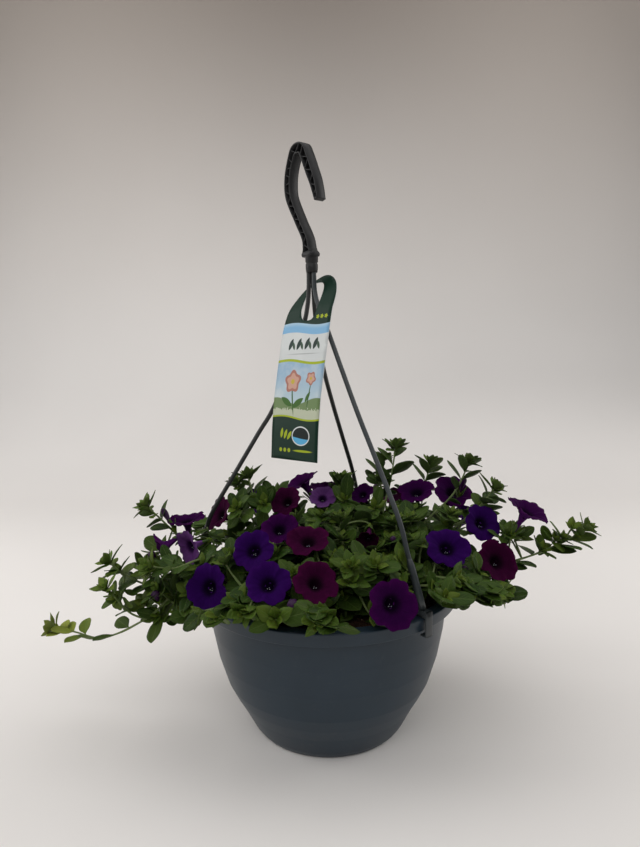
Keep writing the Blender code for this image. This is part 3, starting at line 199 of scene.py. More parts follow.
# Depth of a bloom as a share of its width, and the width of a common one.
BLOOM_DEPTH = 0.64
FULL_WIDTH = 0.042

# Canopy: where the leaves that fill the bunch stand, as a dome over the pot.
CANOPY_MID = Vector((0.018, -0.002, 0.140))
CANOPY_HALF = Vector((0.176, 0.152, 0.088))
FILL_COUNT = 92
# Thickness of a leaf in the plan and as drawn, and the air kept round each piece.
LEAF_THICK = 0.0007
LEAF_FINE = 0.00042
GAP = 0.0005
# Part of a leaf's length that may lie in its stem, and the least distance between two roots.
LEAF_ROOT = 0.0045
ROOT_GAP = 0.0095

UP = Vector((0.0, 0.0, 1.0))
# A full turn, for random angles.
ROUND = 6.28


def along(azimuth, elevation=0.0):
    """Unit vector of an azimuth from +X and an elevation, in degrees."""
    a = math.radians(azimuth)
    e = math.radians(elevation)
    return Vector((math.cos(a) * math.cos(e), math.sin(a) * math.cos(e), math.sin(e)))


def held(value):
    """The value kept between 0 and 1."""
    return min(max(value, 0.0), 1.0)


def metres(place):
    """Vector in metres from a place in millimetres."""
    return Vector([x / 1000 for x in place])


def angles(count, shift=0.0):
    return [math.tau * (k + shift) / count for k in range(count)]


def level_ring(r, z, count):
    """Points of a level circle round the pot's axis."""
    return [Vector((r * math.cos(a), r * math.sin(a), z)) for a in angles(count)]


def circle(mid, side, other, r, count):
    """Points of a circle in the plane of two unit vectors; one radius, or one for each point."""
    radii = r if isinstance(r, list) else [r] * count
    return [mid + (side * math.cos(a) + other * math.sin(a)) * far for a, far in zip(angles(count), radii)]


def strip(rows, cols):
    """Faces of a closed body from rings of equal length, numbered one after another."""
    faces = []
    for i in range(rows - 1):
        for k in range(cols):
            n = (k + 1) % cols
            faces.append((i * cols + k, i * cols + n, (i + 1) * cols + n, (i + 1) * cols + k))
    faces.append(tuple(range(cols - 1, -1, -1)))
    faces.append(tuple(range((rows - 1) * cols, rows * cols)))
    return faces


def square_to(axis, wanted):
    """Unit vector square to a unit axis, as near as possible to the wanted one."""
    return (wanted - axis * wanted.dot(axis)).normalized()


def turned_side(axis, turn):
    """A unit vector square to the axis, turned round it."""
    return Matrix.Rotation(turn, 3, axis) @ side_of(axis)


def spline(points, count):
    """Points at equal lengths on a smooth curve through the given ones."""
    pts = [Vector(p) for p in points]
    pts = [pts[0] * 2 - pts[1]] + pts + [pts[-1] * 2 - pts[-2]]
    fine = []
    for i in range(1, len(pts) - 2):
        a, b, c, d = pts[i - 1:i + 3]
        for k in range(12):
            t = k / 12
            fine.append(0.5 * (2 * b + (c - a) * t + (2 * a - 5 * b + 4 * c - d) * t * t
                               + (3 * b - a - 3 * c + d) * t * t * t))
    fine.append(pts[-2])
    runs = [0.0]
    for p, q in zip(fine, fine[1:]):
        runs.append(runs[-1] + (q - p).length)
    out = []
    k = 0
    for i in range(count):
        want = runs[-1] * i / (count - 1)
        while k < len(runs) - 2 and runs[k + 1] < want:
            k += 1
        span = max(runs[k + 1] - runs[k], 1e-9)
        out.append(fine[k].lerp(fine[k + 1], held((want - runs[k]) / span)))
    return out


def length_of(path):
    return sum((q - p).length for p, q in zip(path, path[1:]))


def point_on(path, share):
    """Point and direction at a share of the path's length."""
    want = length_of(path) * held(share)
    for p, q in zip(path, path[1:]):
        step = (q - p).length
        if want <= step:
            return p.lerp(q, want / max(step, 1e-9)), (q - p).normalized()
        want -= step
    return path[-1].copy(), (path[-1] - path[-2]).normalized()


def side_of(direction):
    """Some unit vector square to the direction."""
    ref = Vector((1.0, 0.0, 0.0)) if abs(direction.z) > 0.9 else UP
    return direction.cross(ref).normalized()


def frames_of(path):
    """Two unit vectors square to the path at each of its points, without twist."""
    side = side_of((path[1] - path[0]).normalized())
    frames = []
    for i in range(len(path)):
        ahead = (path[min(i + 1, len(path) - 1)] - path[max(i - 1, 0)]).normalized()
        side = square_to(ahead, side)
        frames.append((side, ahead.cross(side)))
    return frames


def through_face(path, share, want, sides):
    """Direction square to the path, through the middle of the tube's face nearest to the wanted one."""
    left = length_of(path) * held(share)
    i = 0
    while i < len(path) - 2 and left > (path[i + 1] - path[i]).length:
        left -= (path[i + 1] - path[i]).length
        i += 1
    ahead = (path[i + 1] - path[i]).normalized()
    side = square_to(ahead, frames_of(path)[i][0])
    other = ahead.cross(side)
    step = math.tau / sides
    turn = (round(math.atan2(want.dot(other), want.dot(side)) / step - 0.5) + 0.5) * step
    return side * math.cos(turn) + other * math.sin(turn)


def tube(path, radii, sides):
    """Closed tube along the path: (points, faces)."""
    if not isinstance(radii, list):
        radii = [radii] * len(path)
    verts = []
    for p, (side, other), r in zip(path, frames_of(path), radii):
        verts += circle(p, side, other, r, sides)
    return verts, strip(len(path), sides)


def blade(base, ahead, up, size, width, droop, thick, stations):
    """Closed thin blade from its base along a direction: (points, faces)."""
    side = ahead.cross(up).normalized()
    up = side.cross(ahead).normalized()
    verts = []
    for u, w, lift in stations:
        mid = base + ahead * (size * u) - up * (droop * size * u * u)
        half = max(width * 0.5 * w, 0.0)
        rise = up * (lift * width)
        if w > 0:
            for way, edge in ((-1, 1), (1, 1), (1, -1), (-1, -1)):
                verts.append(mid + side * half * way + rise + up * thick * 0.5 * edge)
        else:
            verts += [mid + up * thick * 0.5, mid - up * thick * 0.5]
    rings = len(stations) - 1
    a = 4 * (rings - 1)
    tip = a + 4
    faces = [(0, 1, 2, 3)] + [(p, s, r, q) for p, q, r, s in strip(rings, 4)[:-2]]
    faces += [(a, tip, a + 1), (a + 2, tip + 1, a + 3), (a + 1, tip, tip + 1, a + 2), (a + 3, tip + 1, tip, a)]
    return verts, faces


LARGE_LEAF = ((0.0, 0.03, 0.0), (0.36, 0.96, 0.03), (0.76, 0.84, 0.02), (1.0, 0.0, 0.0))
SMALL_LEAF = ((0.0, 0.16, 0.0), (0.55, 1.0, 0.03), (1.0, 0.0, 0.0))


def leaf_mesh(leaf, swell=0.0):
    stations = SMALL_LEAF if leaf["small"] else LARGE_LEAF
    return blade(leaf["base"], leaf["ahead"], leaf["up"], leaf["size"] + swell, leaf["width"] + 2 * swell,
                 leaf["droop"], LEAF_THICK + 2 * swell, stations)


def turned(rings, origin, axis, spin):
    """Places ring points given as (x along the axis, radius, angle) around an axis."""
    side = turned_side(axis, spin)
    other = axis.cross(side)
    return [origin + axis * x + (side * math.cos(a) + other * math.sin(a)) * r for x, r, a in rings]


def bloom_mesh(bloom, swell=0.0):
    """Trumpet with a five-lobed limb, a hollow throat and a solid tube behind it."""
    width = bloom["width"]
    depth = width * BLOOM_DEPTH
    closed = 1.0 - bloom["open"]
    half = width * 0.5 + swell
    thick = 0.0008 + 2 * swell
    front = depth * (1.0 + 0.30 * closed)
    step = math.tau / 15
    pts = []
    for back in (0.0, thick):
        for k in range(15):
            lobe = (0.87, 1.0, 1.0)[k % 3]
            lift = (0.0, -0.045, 0.015)[k % 3] * width
            pts.append((front + lift - back, half * lobe, k * step))
        for k in range(10):
            r = half * (0.585, 0.605)[k % 2]
            pts.append((front - width * 0.035 - closed * width * 0.10 - back * 1.1, r, k * 1.5 * step))
    lobes = [3 * k * step for k in range(5)]
    pts += [(front - width * 0.16, 0.0052 * width / FULL_WIDTH, a) for a in lobes]
    pts.append((depth * 0.52, 0.0, 0.0))
    pts += [(depth * 0.42, 0.0026 + swell, a) for a in lobes]
    pts += [(0.0, 0.0012 + swell, a) for a in lobes]
    edge, mid, edge_b, mid_b = 0, 15, 25, 40
    throat, pit, tube_r, root = 50, 55, 56, 61
    faces = []
    for k in range(15):
        n = (k + 1) % 15
        faces.append((edge + n, edge + k, edge_b + k, edge_b + n))
    for j in range(5):
        m = (j + 1) % 5
        e0, e1, e2, e3 = 3 * j, 3 * j + 1, 3 * j + 2, (3 * j + 3) % 15
        m0, m1, m2 = 2 * j, 2 * j + 1, (2 * j + 2) % 10
        for e, q, inner, way in ((edge, mid, throat, 1), (edge_b, mid_b, tube_r, -1)):
            side = [(e + e0, e + e1, q + m0), (e + e1, q + m1, q + m0), (e + e1, e + e2, q + m1),
                    (e + e2, q + m2, q + m1), (e + e2, e + e3, q + m2),
                    (inner + j, q + m0, q + m1), (inner + j, q + m1, inner + m), (inner + m, q + m1, q + m2)]
            faces += [face[::way] for face in side]
        faces.append((pit, throat + j, throat + m))
        faces.append((tube_r + m, tube_r + j, root + j, root + m))
    faces.append((root + 4, root + 3, root + 2, root + 1, root))
    verts = turned(pts, bloom["base"], bloom["face"], bloom["spin"])
    return verts, [face[::-1] for face in faces]


def calyx_mesh(base, axis, spin, scale=1.0):
    """Cup with five teeth that holds a bloom's tube, on the end of its stalk."""
    step = math.tau / 5
    rings = ((-0.0058, 0.0009, 0.0), (0.0008, 0.0038, 0.0), (0.0008, 0.0030, 0.0), (0.0125 * scale, 0.0056, 0.5))
    pts = [(x, r, (k + shift) * step) for x, r, shift in rings for k in range(5)]
    pts.append((-0.0020, 0.0, 0.0))
    low, out, inn, tip, floor = 0, 5, 10, 15, 20
    faces = [(low, low + 1, low + 2, low + 3, low + 4)]
    for k in range(5):
        n = (k + 1) % 5
        faces += [(low + k, low + n, out + n, out + k), (out + k, out + n, tip + k), (inn + n, inn + k, tip + k),
                  (inn + k, out + k, tip + k), (out + n, inn + n, tip + k), (floor, inn + k, inn + n)]
    return turned(pts, base, axis, spin), faces


def calyx_scale(bloom):
    return min(1.0, bloom["width"] / 0.040)


def box_of(verts):
    return [Vector([pick(v[k] for v in verts) for k in range(3)]) for pick in (min, max)]


class Crowd:
    """Every placed piece, so that a new one can be kept clear of all the others."""

    def __init__(self):
        self.items = []

    def add(self, mesh, owner, kind):
        self.items.append((box_of(mesh[0]), BVHTree.FromPolygons(*mesh), owner, kind))

    def clear(self, mesh, skip=(), kinds=None):
        """True if the mesh cuts no placed piece: of the given kinds, or of any but those to skip."""
        low, high = box_of(mesh[0])
        tree = None
        for (lo, hi), other, owner, kind in self.items:
            if (owner, kind) in skip or (kinds and kind not in kinds):
                continue
            if any(lo[k] > high[k] or hi[k] < low[k] for k in range(3)):
                continue
            tree = tree or BVHTree.FromPolygons(*mesh)
            if tree.overlap(other):
                return False
        return True


def ring_wall(low_r, high_r, low_z, high_z, sides=44):
    """Closed ring with a rectangular section."""
    verts = []
    for r, z in ((low_r, low_z), (high_r, low_z), (high_r, high_z), (low_r, high_z)):
        verts += level_ring(r, z, sides)
    faces = []
    for j in range(4):
        a = j * sides
        b = (j + 1) % 4 * sides
        for k in range(sides):
            n = (k + 1) % sides
            faces.append((a + k, a + n, b + n, b + k))
    return verts, faces


def rod_path(azimuth, points, count=11):
    d = along(azimuth)
    return spline([NECK + d * rho + UP * z for rho, z in points], count)


def tag_point(h, s, off=0.0):
    """Point of the bent card from its own width and height, and a distance off its back."""
    k = 0
    while k < len(TAG_LEAN) - 2 and TAG_LEAN[k + 1][0] < s:
        k += 1
    a = TAG_LEAN[k]
    b = TAG_LEAN[k + 1]
    t = (s - a[0]) / (b[0] - a[0])
    back, shift, z = [p + (q - p) * t for p, q in zip(a[1:], b[1:])]
    across = along(TAG_TURN)
    normal = along(TAG_TURN + 90.0)
    lean = math.atan2(b[1] - a[1], b[3] - a[3])
    outward = normal * math.cos(lean) - UP * math.sin(lean)
    height = UP * (z + h * math.sin(TAG_ROLL))
    return NECK + across * (h * math.cos(TAG_ROLL) + shift) + normal * back + height + outward * off


def tag_sheet(thick):
    """The bent card as a closed strip without its hole, for keeping things clear of it."""
    corners = ((-TAG_HALF, 0.0), (TAG_HALF, 0.0), (TAG_HALF, thick), (-TAG_HALF, thick))
    verts = [tag_point(h, row[0], off) for row in TAG_LEAN for h, off in corners]
    return verts, strip(len(TAG_LEAN), 4)


# The clip over the rim under each rod: inner radius, outer radius, half width, low and high z.
FOOT_BOXES = (
    (FOOT_IN, FOOT_OUT, 0.0042, FOOT_LOW, FOOT_TOP),
    (0.1365, FOOT_OUT, 0.0044, 0.1340, FOOT_TOP),
    (0.1308, FOOT_OUT, 0.0040, 0.1340, 0.1361),
    (FOOT_IN, 0.1197, 0.0040, 0.1465, FOOT_TOP),
)


def polar_box(azimuth, low_r, high_r, half, low_z, high_z):
    out = along(azimuth)
    tan = along(azimuth + 90.0)
    corners = ((low_r, -half), (high_r, -half), (high_r, half), (low_r, half))
    return [out * r + tan * t + UP * z for z in (low_z, high_z) for r, t in corners], strip(2, 4)


def root_spots():
    """A spot in the soil for each stem, near its plant's crown and clear of the others."""
    spots = []
    for i, (plant, size, points) in enumerate(STEMS):
        centre = metres((*PLANTS[plant], 0.0))
        toward = (metres((*points[0][:2], 0.0)) - centre).normalized()
        spots.append(centre + toward * (0.010 + 0.003 * (i % 3)))
    for _ in range(60):
        for i in range(len(spots)):
            for j in range(i + 1, len(spots)):
                gap = spots[j] - spots[i]
                if gap.length < ROOT_GAP:
                    push = gap.normalized() * (ROOT_GAP - gap.length) * 0.5
                    spots[i] -= push
                    spots[j] += push
    return spots


def shaken(rng, flat=1.0):
    """A random vector in a box of unit half width, flattened in height."""
    return Vector((rng.uniform(-1, 1), rng.uniform(-1, 1), rng.uniform(-flat, flat)))


def place_hard(crowd):
    """The frame's rods, feet and card and the pot's rim, each a little swollen."""
    for azimuth, points in RODS:
        path = rod_path(azimuth, points)
        crowd.add(tube(path, 0.0040, 6), "hanger", "rod")
        foot = math.degrees(math.atan2(path[-1].y, path[-1].x))
        crowd.add(polar_box(foot, 0.1170, 0.1395, 0.0055, 0.1330, 0.1600), "hanger", "foot")
    crowd.add(tag_sheet(0.0012), "tag", "card")
    crowd.add(ring_wall(0.1188, 0.1364, 0.1360, 0.1530), "pot", "rim")


def place_stem(spot, points, crowd, rng):
    """A path from a spot in the soil through the given points, shaken until it is clear."""
    for trial in range(60):
        jog = 0.0 if trial == 0 else 0.002 + 0.0005 * trial
        vias = [metres(p) + shaken(rng, 0.6) * jog for p in points]
        low = Vector((spot.x, spot.y, STEM_LOW))
        lean = Vector((vias[0].x - spot.x, vias[0].y - spot.y, 0.0)) * 0.16
        guide = [low + UP * 0.0208, low + lean + UP * 0.032] + vias
        count = int(min(max(length_of(spline(guide, 30)) / 0.021, 5), 11)) + 1
        path = [low] + spline(guide, count)
        if crowd.clear(tube(path, STEM_R + 0.0012, 5)):
            break
    return path


def place_bloom(name, row, stems, crowd, rng):
    """A bloom near its given place with a clear stalk, or None."""
    centre, azimuth, elevation, width, colour, spread = row
    width /= 1000
    for trial in range(80):
        jog = 0.0 if trial == 0 else 0.0010 + 0.00012 * trial
        turn = 0.0 if trial == 0 else 3.0 + 0.20 * trial
        face = along(azimuth + rng.uniform(-turn, turn), elevation + rng.uniform(-turn, turn))
        mid = metres(centre) + shaken(rng) * jog
        bloom = {"name": name, "face": face, "width": width, "open": spread, "colour": colour,
                 "spin": rng.uniform(0.0, ROUND), "base": mid - face * width * BLOOM_DEPTH}
        if not crowd.clear(bloom_mesh(bloom, GAP)):
            continue
        found = stalk_for(bloom, stems, crowd, rng)
        if found:
            stem, path, spin = found
            calyx = (bloom["base"], face, spin, calyx_scale(bloom))
            stem["stalks"].append(path)
            stem["calyces"].append(calyx)
            crowd.add(tube(path, 0.0008, 4), stem["name"], "stalk")
            crowd.add(calyx_mesh(*calyx), stem["name"], "calyx")
            crowd.add(bloom_mesh(bloom), name, "bloom")
            return bloom
    return None


def plan_plant():
    """Works out every stem, bloom, stalk and leaf, each clear of the rest."""
    rng = random.Random(29)
    crowd = Crowd()
    place_hard(crowd)
    stems = []
    for number, (spot, (plant, size, points)) in enumerate(zip(root_spots(), STEMS), 1):
        name = f"stem_{number:02d}"
        path = place_stem(spot, points, crowd, rng)
        last = len(path) - 1
        radii = [STEM_R + (STEM_TIP_R - STEM_R) * i / last for i in range(last + 1)]
        stems.append({"name": name, "path": path, "radii": radii, "size": size / 1000, "leaves": [], "stalks": [],
                      "calyces": [], "shoots": [], "buds": [], "extra": [], "twigs": []})
        crowd.add(tube(path, radii, 5), name, "stem")
    crowd.add((level_ring(0.1200, SOIL_LIMIT, 24), [tuple(range(24))]), "soil", "top")
    for name, share, points in SIDE_SHOOTS:
        stem = next(stem for stem in stems if stem["name"] == name)
        start, way = point_on(stem["path"], share)
        path = spline([start] + [metres(p) for p in points], 5)
        stem["shoots"].append({"path": path, "radii": [0.0011, 0.0011, 0.0010, 0.0009, 0.0008]})
        crowd.add(tube(path, 0.0010, 4), name, "shoot")
    blooms = [place_bloom(f"bloom_{number:02d}", row, stems, crowd, rng) for number, row in enumerate(BLOOMS, 1)]
    for stem in stems:
        dress_tip(stem, stem["path"], stem["size"], crowd, rng, 0.34)
        for shoot in stem["shoots"]:
            dress_tip(stem, shoot["path"], 0.018, crowd, rng, 0.2)
    fill_canopy(stems, crowd, rng)
    return stems, [bloom for bloom in blooms if bloom], crowd


def near_stems(stems, spot, shares, low, high, cost):
    """Places on the stems within reach of a spot, the cheapest first."""
    found = []
    for stem in stems:
        for share in shares:
            start, way = point_on(stem["path"], share)
            gap = spot - start
            if low <= gap.length <= high:
                found.append((cost(gap, stem), stem["name"], share, stem, start))
    return sorted(found, key=lambda item: item[:3])


def stalk_for(bloom, stems, crowd, rng):
    """A clear stalk from some stem to the bloom's base, or None."""
    base = bloom["base"]
    face = bloom["face"]
    found = near_stems(stems, base, (0.45, 0.55, 0.65, 0.75, 0.85, 0.93), 0.010, 0.075,
                       lambda gap, stem: gap.length + 0.018 * (1.0 - gap.normalized().dot(face)))
    spin = rng.uniform(0.0, 1.2)
    if not crowd.clear(calyx_mesh(base, face, spin, calyx_scale(bloom))):
        return None
    end = base - face * 0.0048
    for cost, name, share, stem, start in found[:14]:
        span = (end - start).length
        for bend in (0.30, 0.45, 0.20):
            reach = bend * span
            mid = start.lerp(end, 0.5) - face * reach * 0.5
            path = spline([start, mid, end - face * reach * 0.25, end], 5)
            if crowd.clear(tube(path, 0.0014, 4), skip=((name, "stem"),)):
                return stem, path, spin
    return None


def try_leaf(leaf, stem, crowd, rng, tries, skip):
    """Keeps a leaf if it is clear; if not, turns and shrinks it a little and tries again."""
    for trial in range(tries):
        test = dict(leaf)
        if trial:
            turn = rng.uniform(-0.5, 0.5) * (1 + 0.15 * trial)
            rot = Matrix.Rotation(turn, 3, turned_side(leaf["ahead"], rng.uniform(0.0, ROUND)))
            test["ahead"] = rot @ leaf["ahead"]
            test["up"] = rot @ leaf["up"]
            test["size"] = leaf["size"] * (1.0 - 0.05 * trial)
            test["width"] = leaf["width"] * (1.0 - 0.05 * trial)
        mesh = leaf_mesh(test, GAP)
        if not crowd.clear(mesh, skip=skip):
            continue
        probe = dict(test, base=test["base"] + test["ahead"] * LEAF_ROOT, size=test["size"] - LEAF_ROOT)
        if not crowd.clear(leaf_mesh(probe, 0.0002)):
            continue
        if any(v.z < LEAF_FLOOR or v.z < SOIL_LIMIT and math.hypot(v.x, v.y) < 0.1370 for v in mesh[0]):
            continue
        stem["leaves"].append(test)
        crowd.add(leaf_mesh(test), stem["name"], "leaf")
        return


def thin_at(stem, path, share):
    """Radius of the stem or shoot at a share of its length."""
    if path is stem["path"]:
        return STEM_R + (STEM_TIP_R - STEM_R) * share
    return 0.0010


# Leaves of a stem from its tip down: distance from the tip, share of full size, angle from the stem.
TIP_LEAVES = ((0.0012, 0.34, 22), (0.0030, 0.46, 34), (0.0060, 0.60, 44), (0.0120, 0.78, 52), (0.0210, 0.92, 58),
              (0.0330, 1.0, 62), (0.0480, 1.0, 66), (0.0650, 1.0, 68), (0.0840, 1.0, 70), (0.1050, 1.0, 70))


def dress_tip(stem, path, size, crowd, rng, low_share):
    """Leaves along a shoot, small and close at the tip, larger and further apart below."""
    total = length_of(path)
    spin = rng.uniform(0.0, ROUND)
    name = stem["name"]
    for i, (back, share, angle) in enumerate(TIP_LEAVES):
        at = 1.0 - back / total
        if at < low_share:
            break
        base, way = point_on(path, at)
        spin += 1.57 + rng.uniform(-0.25, 0.25)
        for k in range(2 if i < 6 else 1):
            out = through_face(path, at, turned_side(way, spin + math.pi * k), 4)
            a = math.radians(angle + rng.uniform(-8, 8))
            ahead = ((way * math.cos(a) + out * math.sin(a)).normalized() + UP * 0.18).normalized()
            length = size * share * rng.uniform(0.88, 1.12)
            leaf = {"base": base + out * (0.25 * thin_at(stem, path, at)), "ahead": ahead,
                    "up": square_to(ahead, way), "size": length, "width": length * rng.uniform(0.50, 0.62),
                    "droop": rng.uniform(0.02, 0.16), "small": i < 2, "age": share, "seed": rng.random()}
            near = ((name, "stem"), (name, "shoot"), (name, "leaf"))
            if i < 3:
                try_leaf(leaf, stem, crowd, rng, 3, near)
            else:
                try_leaf(leaf, stem, crowd, rng, 7, near[:2])


def dome_spots(count, low, shift):
    """Directions spread evenly over a dome from its top down."""
    golden = math.pi * (3.0 - math.sqrt(5.0))
    for i in range(count):
        z = 1.0 - low * (i + 0.5) / count
        r = math.sqrt(max(0.0, 1.0 - z * z))
        yield Vector((r * math.cos(golden * i + shift), r * math.sin(golden * i + shift), z))


def dome_normal(out, lift):
    """Direction square to the canopy's dome, turned a little up."""
    normal = Vector([out[k] / CANOPY_HALF[k] for k in range(3)]).normalized()
    return (normal + UP * lift).normalized()


def fill_canopy(stems, crowd, rng):
    """Side branches with a whorl of leaves each, spread evenly over the dome of the canopy."""
    for out in dome_spots(FILL_COUNT, 1.12, 0.0):
        spot = CANOPY_MID + out * CANOPY_HALF * rng.uniform(0.74, 1.0)
        normal = dome_normal(out, 0.45)
        found = near_stems(stems, spot, (0.3, 0.4, 0.5, 0.6, 0.7, 0.8, 0.9), 0.008, 0.060,
                           lambda gap, stem: gap.length + 0.01 * len(stem["leaves"]) / 12)
        for cost, name, share, stem, start in found[:6]:
            path = spline([start, start.lerp(spot, 0.5) - normal * 0.004, spot - normal * 0.007, spot], 4)
            if not crowd.clear(tube(path, 0.0014, 3), skip=((name, "stem"),)):
                continue
            stem["shoots"].append({"path": path, "radii": [0.0011, 0.0011, 0.0010, 0.0009]})
            crowd.add(tube(path, 0.0011, 3), name, "shoot")
            turn = rng.uniform(0.0, ROUND)
            for k in range(3):
                at = 1.0 - (0.0016 + 0.0022 * k) / length_of(path)
                base, way = point_on(path, at)
                side = through_face(path, at, turned_side(way, turn + 2.09 * k), 3)
                tilt = math.radians(rng.uniform(18, 48))
                ahead = (side * math.cos(tilt) + way * math.sin(tilt)).normalized()
                length = rng.uniform(0.024, 0.034)
                leaf = {"base": base, "ahead": ahead, "up": square_to(ahead, way), "size": length,
                        "width": length * rng.uniform(0.54, 0.66), "droop": rng.uniform(0.05, 0.22),
                        "small": False, "age": 1.0, "seed": rng.random()}
                try_leaf(leaf, stem, crowd, rng, 8, ((name, "shoot"),))
            break


# ---------------------------------------------------------------- mesh building

# Material numbers of a foliage piece; its leaves and sepals use the first.
BARK, HAIR, BUD = 1, 2, 3


class Build:
    """Collects points, faces, UVs, tones and material numbers for one object."""

    def __init__(self):
        self.verts = []
        self.faces = []
        self.uvs = []
        self.tones = []
        self.mats = []

    def add(self, verts, faces, uvs=None, tones=(0.5, 0.5, 0.5), mat=0):
        start = len(self.verts)
        self.verts += verts
        self.faces += [tuple(start + i for i in face) for face in faces]
        self.uvs += uvs or [(0.0, 0.0)] * len(verts)
        self.tones += [tones] * len(verts) if isinstance(tones, tuple) else tones
        self.mats += [mat] * len(faces)

    def make(self, name, materials, smooth=True):
        data = bpy.data.meshes.new(name)
        data.from_pydata([tuple(v) for v in self.verts], [], self.faces)
        where = [0] * len(data.loops)
        data.loops.foreach_get("vertex_index", where)
        uv = data.uv_layers.new(name="UVMap")
        uv.data.foreach_set("uv", [x for i in where for x in self.uvs[i]])
        tone = data.color_attributes.new("Tone", "FLOAT_COLOR", "POINT")
        tone.data.foreach_set("color", [x for t in self.tones for x in (*t, 1.0)])
        for mat in materials:
            data.materials.append(mat)
        data.polygons.foreach_set("material_index", self.mats)
        data.polygons.foreach_set("use_smooth", [smooth] * len(data.polygons))
        data.update()
        return stand(name, data)


def stand(name, data):
    """An object with this data, in the scene."""
    made = bpy.data.objects.new(name, data)
    bpy.context.scene.collection.objects.link(made)
    return made


def blend_rows(rows, x):
    """Value at a place between rows of (place, value)."""
    if x <= rows[0][0]:
        return rows[0][1]
    for (a, p), (b, q) in zip(rows, rows[1:]):
        if x <= b:
            return p + (q - p) * ((x - a) / (b - a))
    return rows[-1][1]


def youth_and_light(leaf):
    """How young and how lit a leaf is drawn, 0 to 1: its age gives real youth; the ends of long stems add partly
    real young growth and partly painted light shining through, strongest on the left; the front adds painted light.
    """
    x, y, z = leaf["base"]
    # Ends of long stems: young growth and painted backlight, more than twice as strong on the left.
    far = held((math.hypot(x, y) - 0.155) / 0.100) * (1.0 if x < 0.0 else 0.45)
    # Painted light on the leaves at the front.
    front = held((-y - 0.06) / 0.08)
    # The far left tip of the trailing stem: young growth with painted backlight.
    tip = held((-x - 0.235) / 0.03)
    young = min(max((1.0 - leaf["age"]) * 0.9, 0.0) + 0.10 * front + 0.62 * far + 0.5 * tip, 1.0)
    return 0.8 * young + 0.2 * tip


# ---------------------------------------------------------------- leaves

LEAF_OUTLINE = ((0.0, 0.10), (0.07, 0.12), (0.15, 0.34), (0.25, 0.66), (0.37, 0.90), (0.50, 1.0),
                (0.63, 0.99), (0.75, 0.89), (0.86, 0.70), (0.94, 0.44), (1.0, 0.10))
YOUNG_OUTLINE = ((0.0, 0.16), (0.14, 0.40), (0.32, 0.84), (0.48, 1.0), (0.66, 0.86), (0.84, 0.48), (1.0, 0.04))
SEPAL_OUTLINE = ((0.0, 0.75), (0.3, 0.85), (0.6, 1.0), (0.85, 0.85), (1.0, 0.30))


def fine_leaf(build, leaf, outline=LEAF_OUTLINE, across=3):
    """A leaf with a cupped blade, a grooved midrib, waved edges and a bent tip."""
    rng = random.Random(int(leaf["seed"] * 1e6))
    ahead = leaf["ahead"]
    side = ahead.cross(leaf["up"]).normalized()
    up = side.cross(ahead).normalized()
    size = leaf["size"]
    width = leaf["width"]
    cup = rng.uniform(0.02, 0.11)
    wave = rng.uniform(0.01, 0.035)
    phase = rng.uniform(0.0, ROUND)
    curl = rng.uniform(-0.04, 0.07)
    skew = rng.uniform(-0.06, 0.06)
    tint = rng.random()
    young = youth_and_light(leaf)
    cols = [k / across for k in range(-across, across + 1)]
    top = []
    low = []
    uvs = []
    for t, w in outline:
        half = width * 0.5 * w
        mid = leaf["base"] + ahead * (size * t) - up * ((leaf["droop"] * t * t - curl * t ** 4) * size)
        mid += side * (skew * size * t * t)
        for s in cols:
            rise = cup * width * abs(s) ** 1.7 * w
            rise += wave * width * s * s * math.sin(7.0 * t + phase + 1.3 * s) * w
            rise -= 0.014 * width * math.exp(-(s * 5.0) ** 2)
            edge = 1.0 + 0.025 * math.sin(19.0 * t + phase) * abs(s)
            p = mid + side * (half * s * edge) + up * rise
            top.append(p)
            low.append(p - up * LEAF_FINE * (1.0 - 0.55 * abs(s)))
            uvs.append((0.5 + 0.5 * s, t))
    n = len(cols)
    m = len(top)
    faces = []
    for a in range(0, m - n, n):
        for k in range(a, a + n - 1):
            faces.append((k + 1, k + n + 1, k + n, k))
            faces.append((m + k + n, m + k + n + 1, m + k + 1, m + k))
        faces.append((a + n, m + a + n, m + a, a))
        k = a + n - 1
        faces.append((m + k, m + k + n, k + n, k))
    for k in range(n - 1):
        faces.append((m + k, m + k + 1, k + 1, k))
        a = m - n + k
        faces.append((m + a + 1, m + a, a, a + 1))
    build.add(top + low, faces, uvs + uvs, [(tint, young, 1.0)] * m + [(tint, young, 0.0)] * m)


# ---------------------------------------------------------------- blooms

BLOOM_COLS = 80
LOBE = math.tau / 5


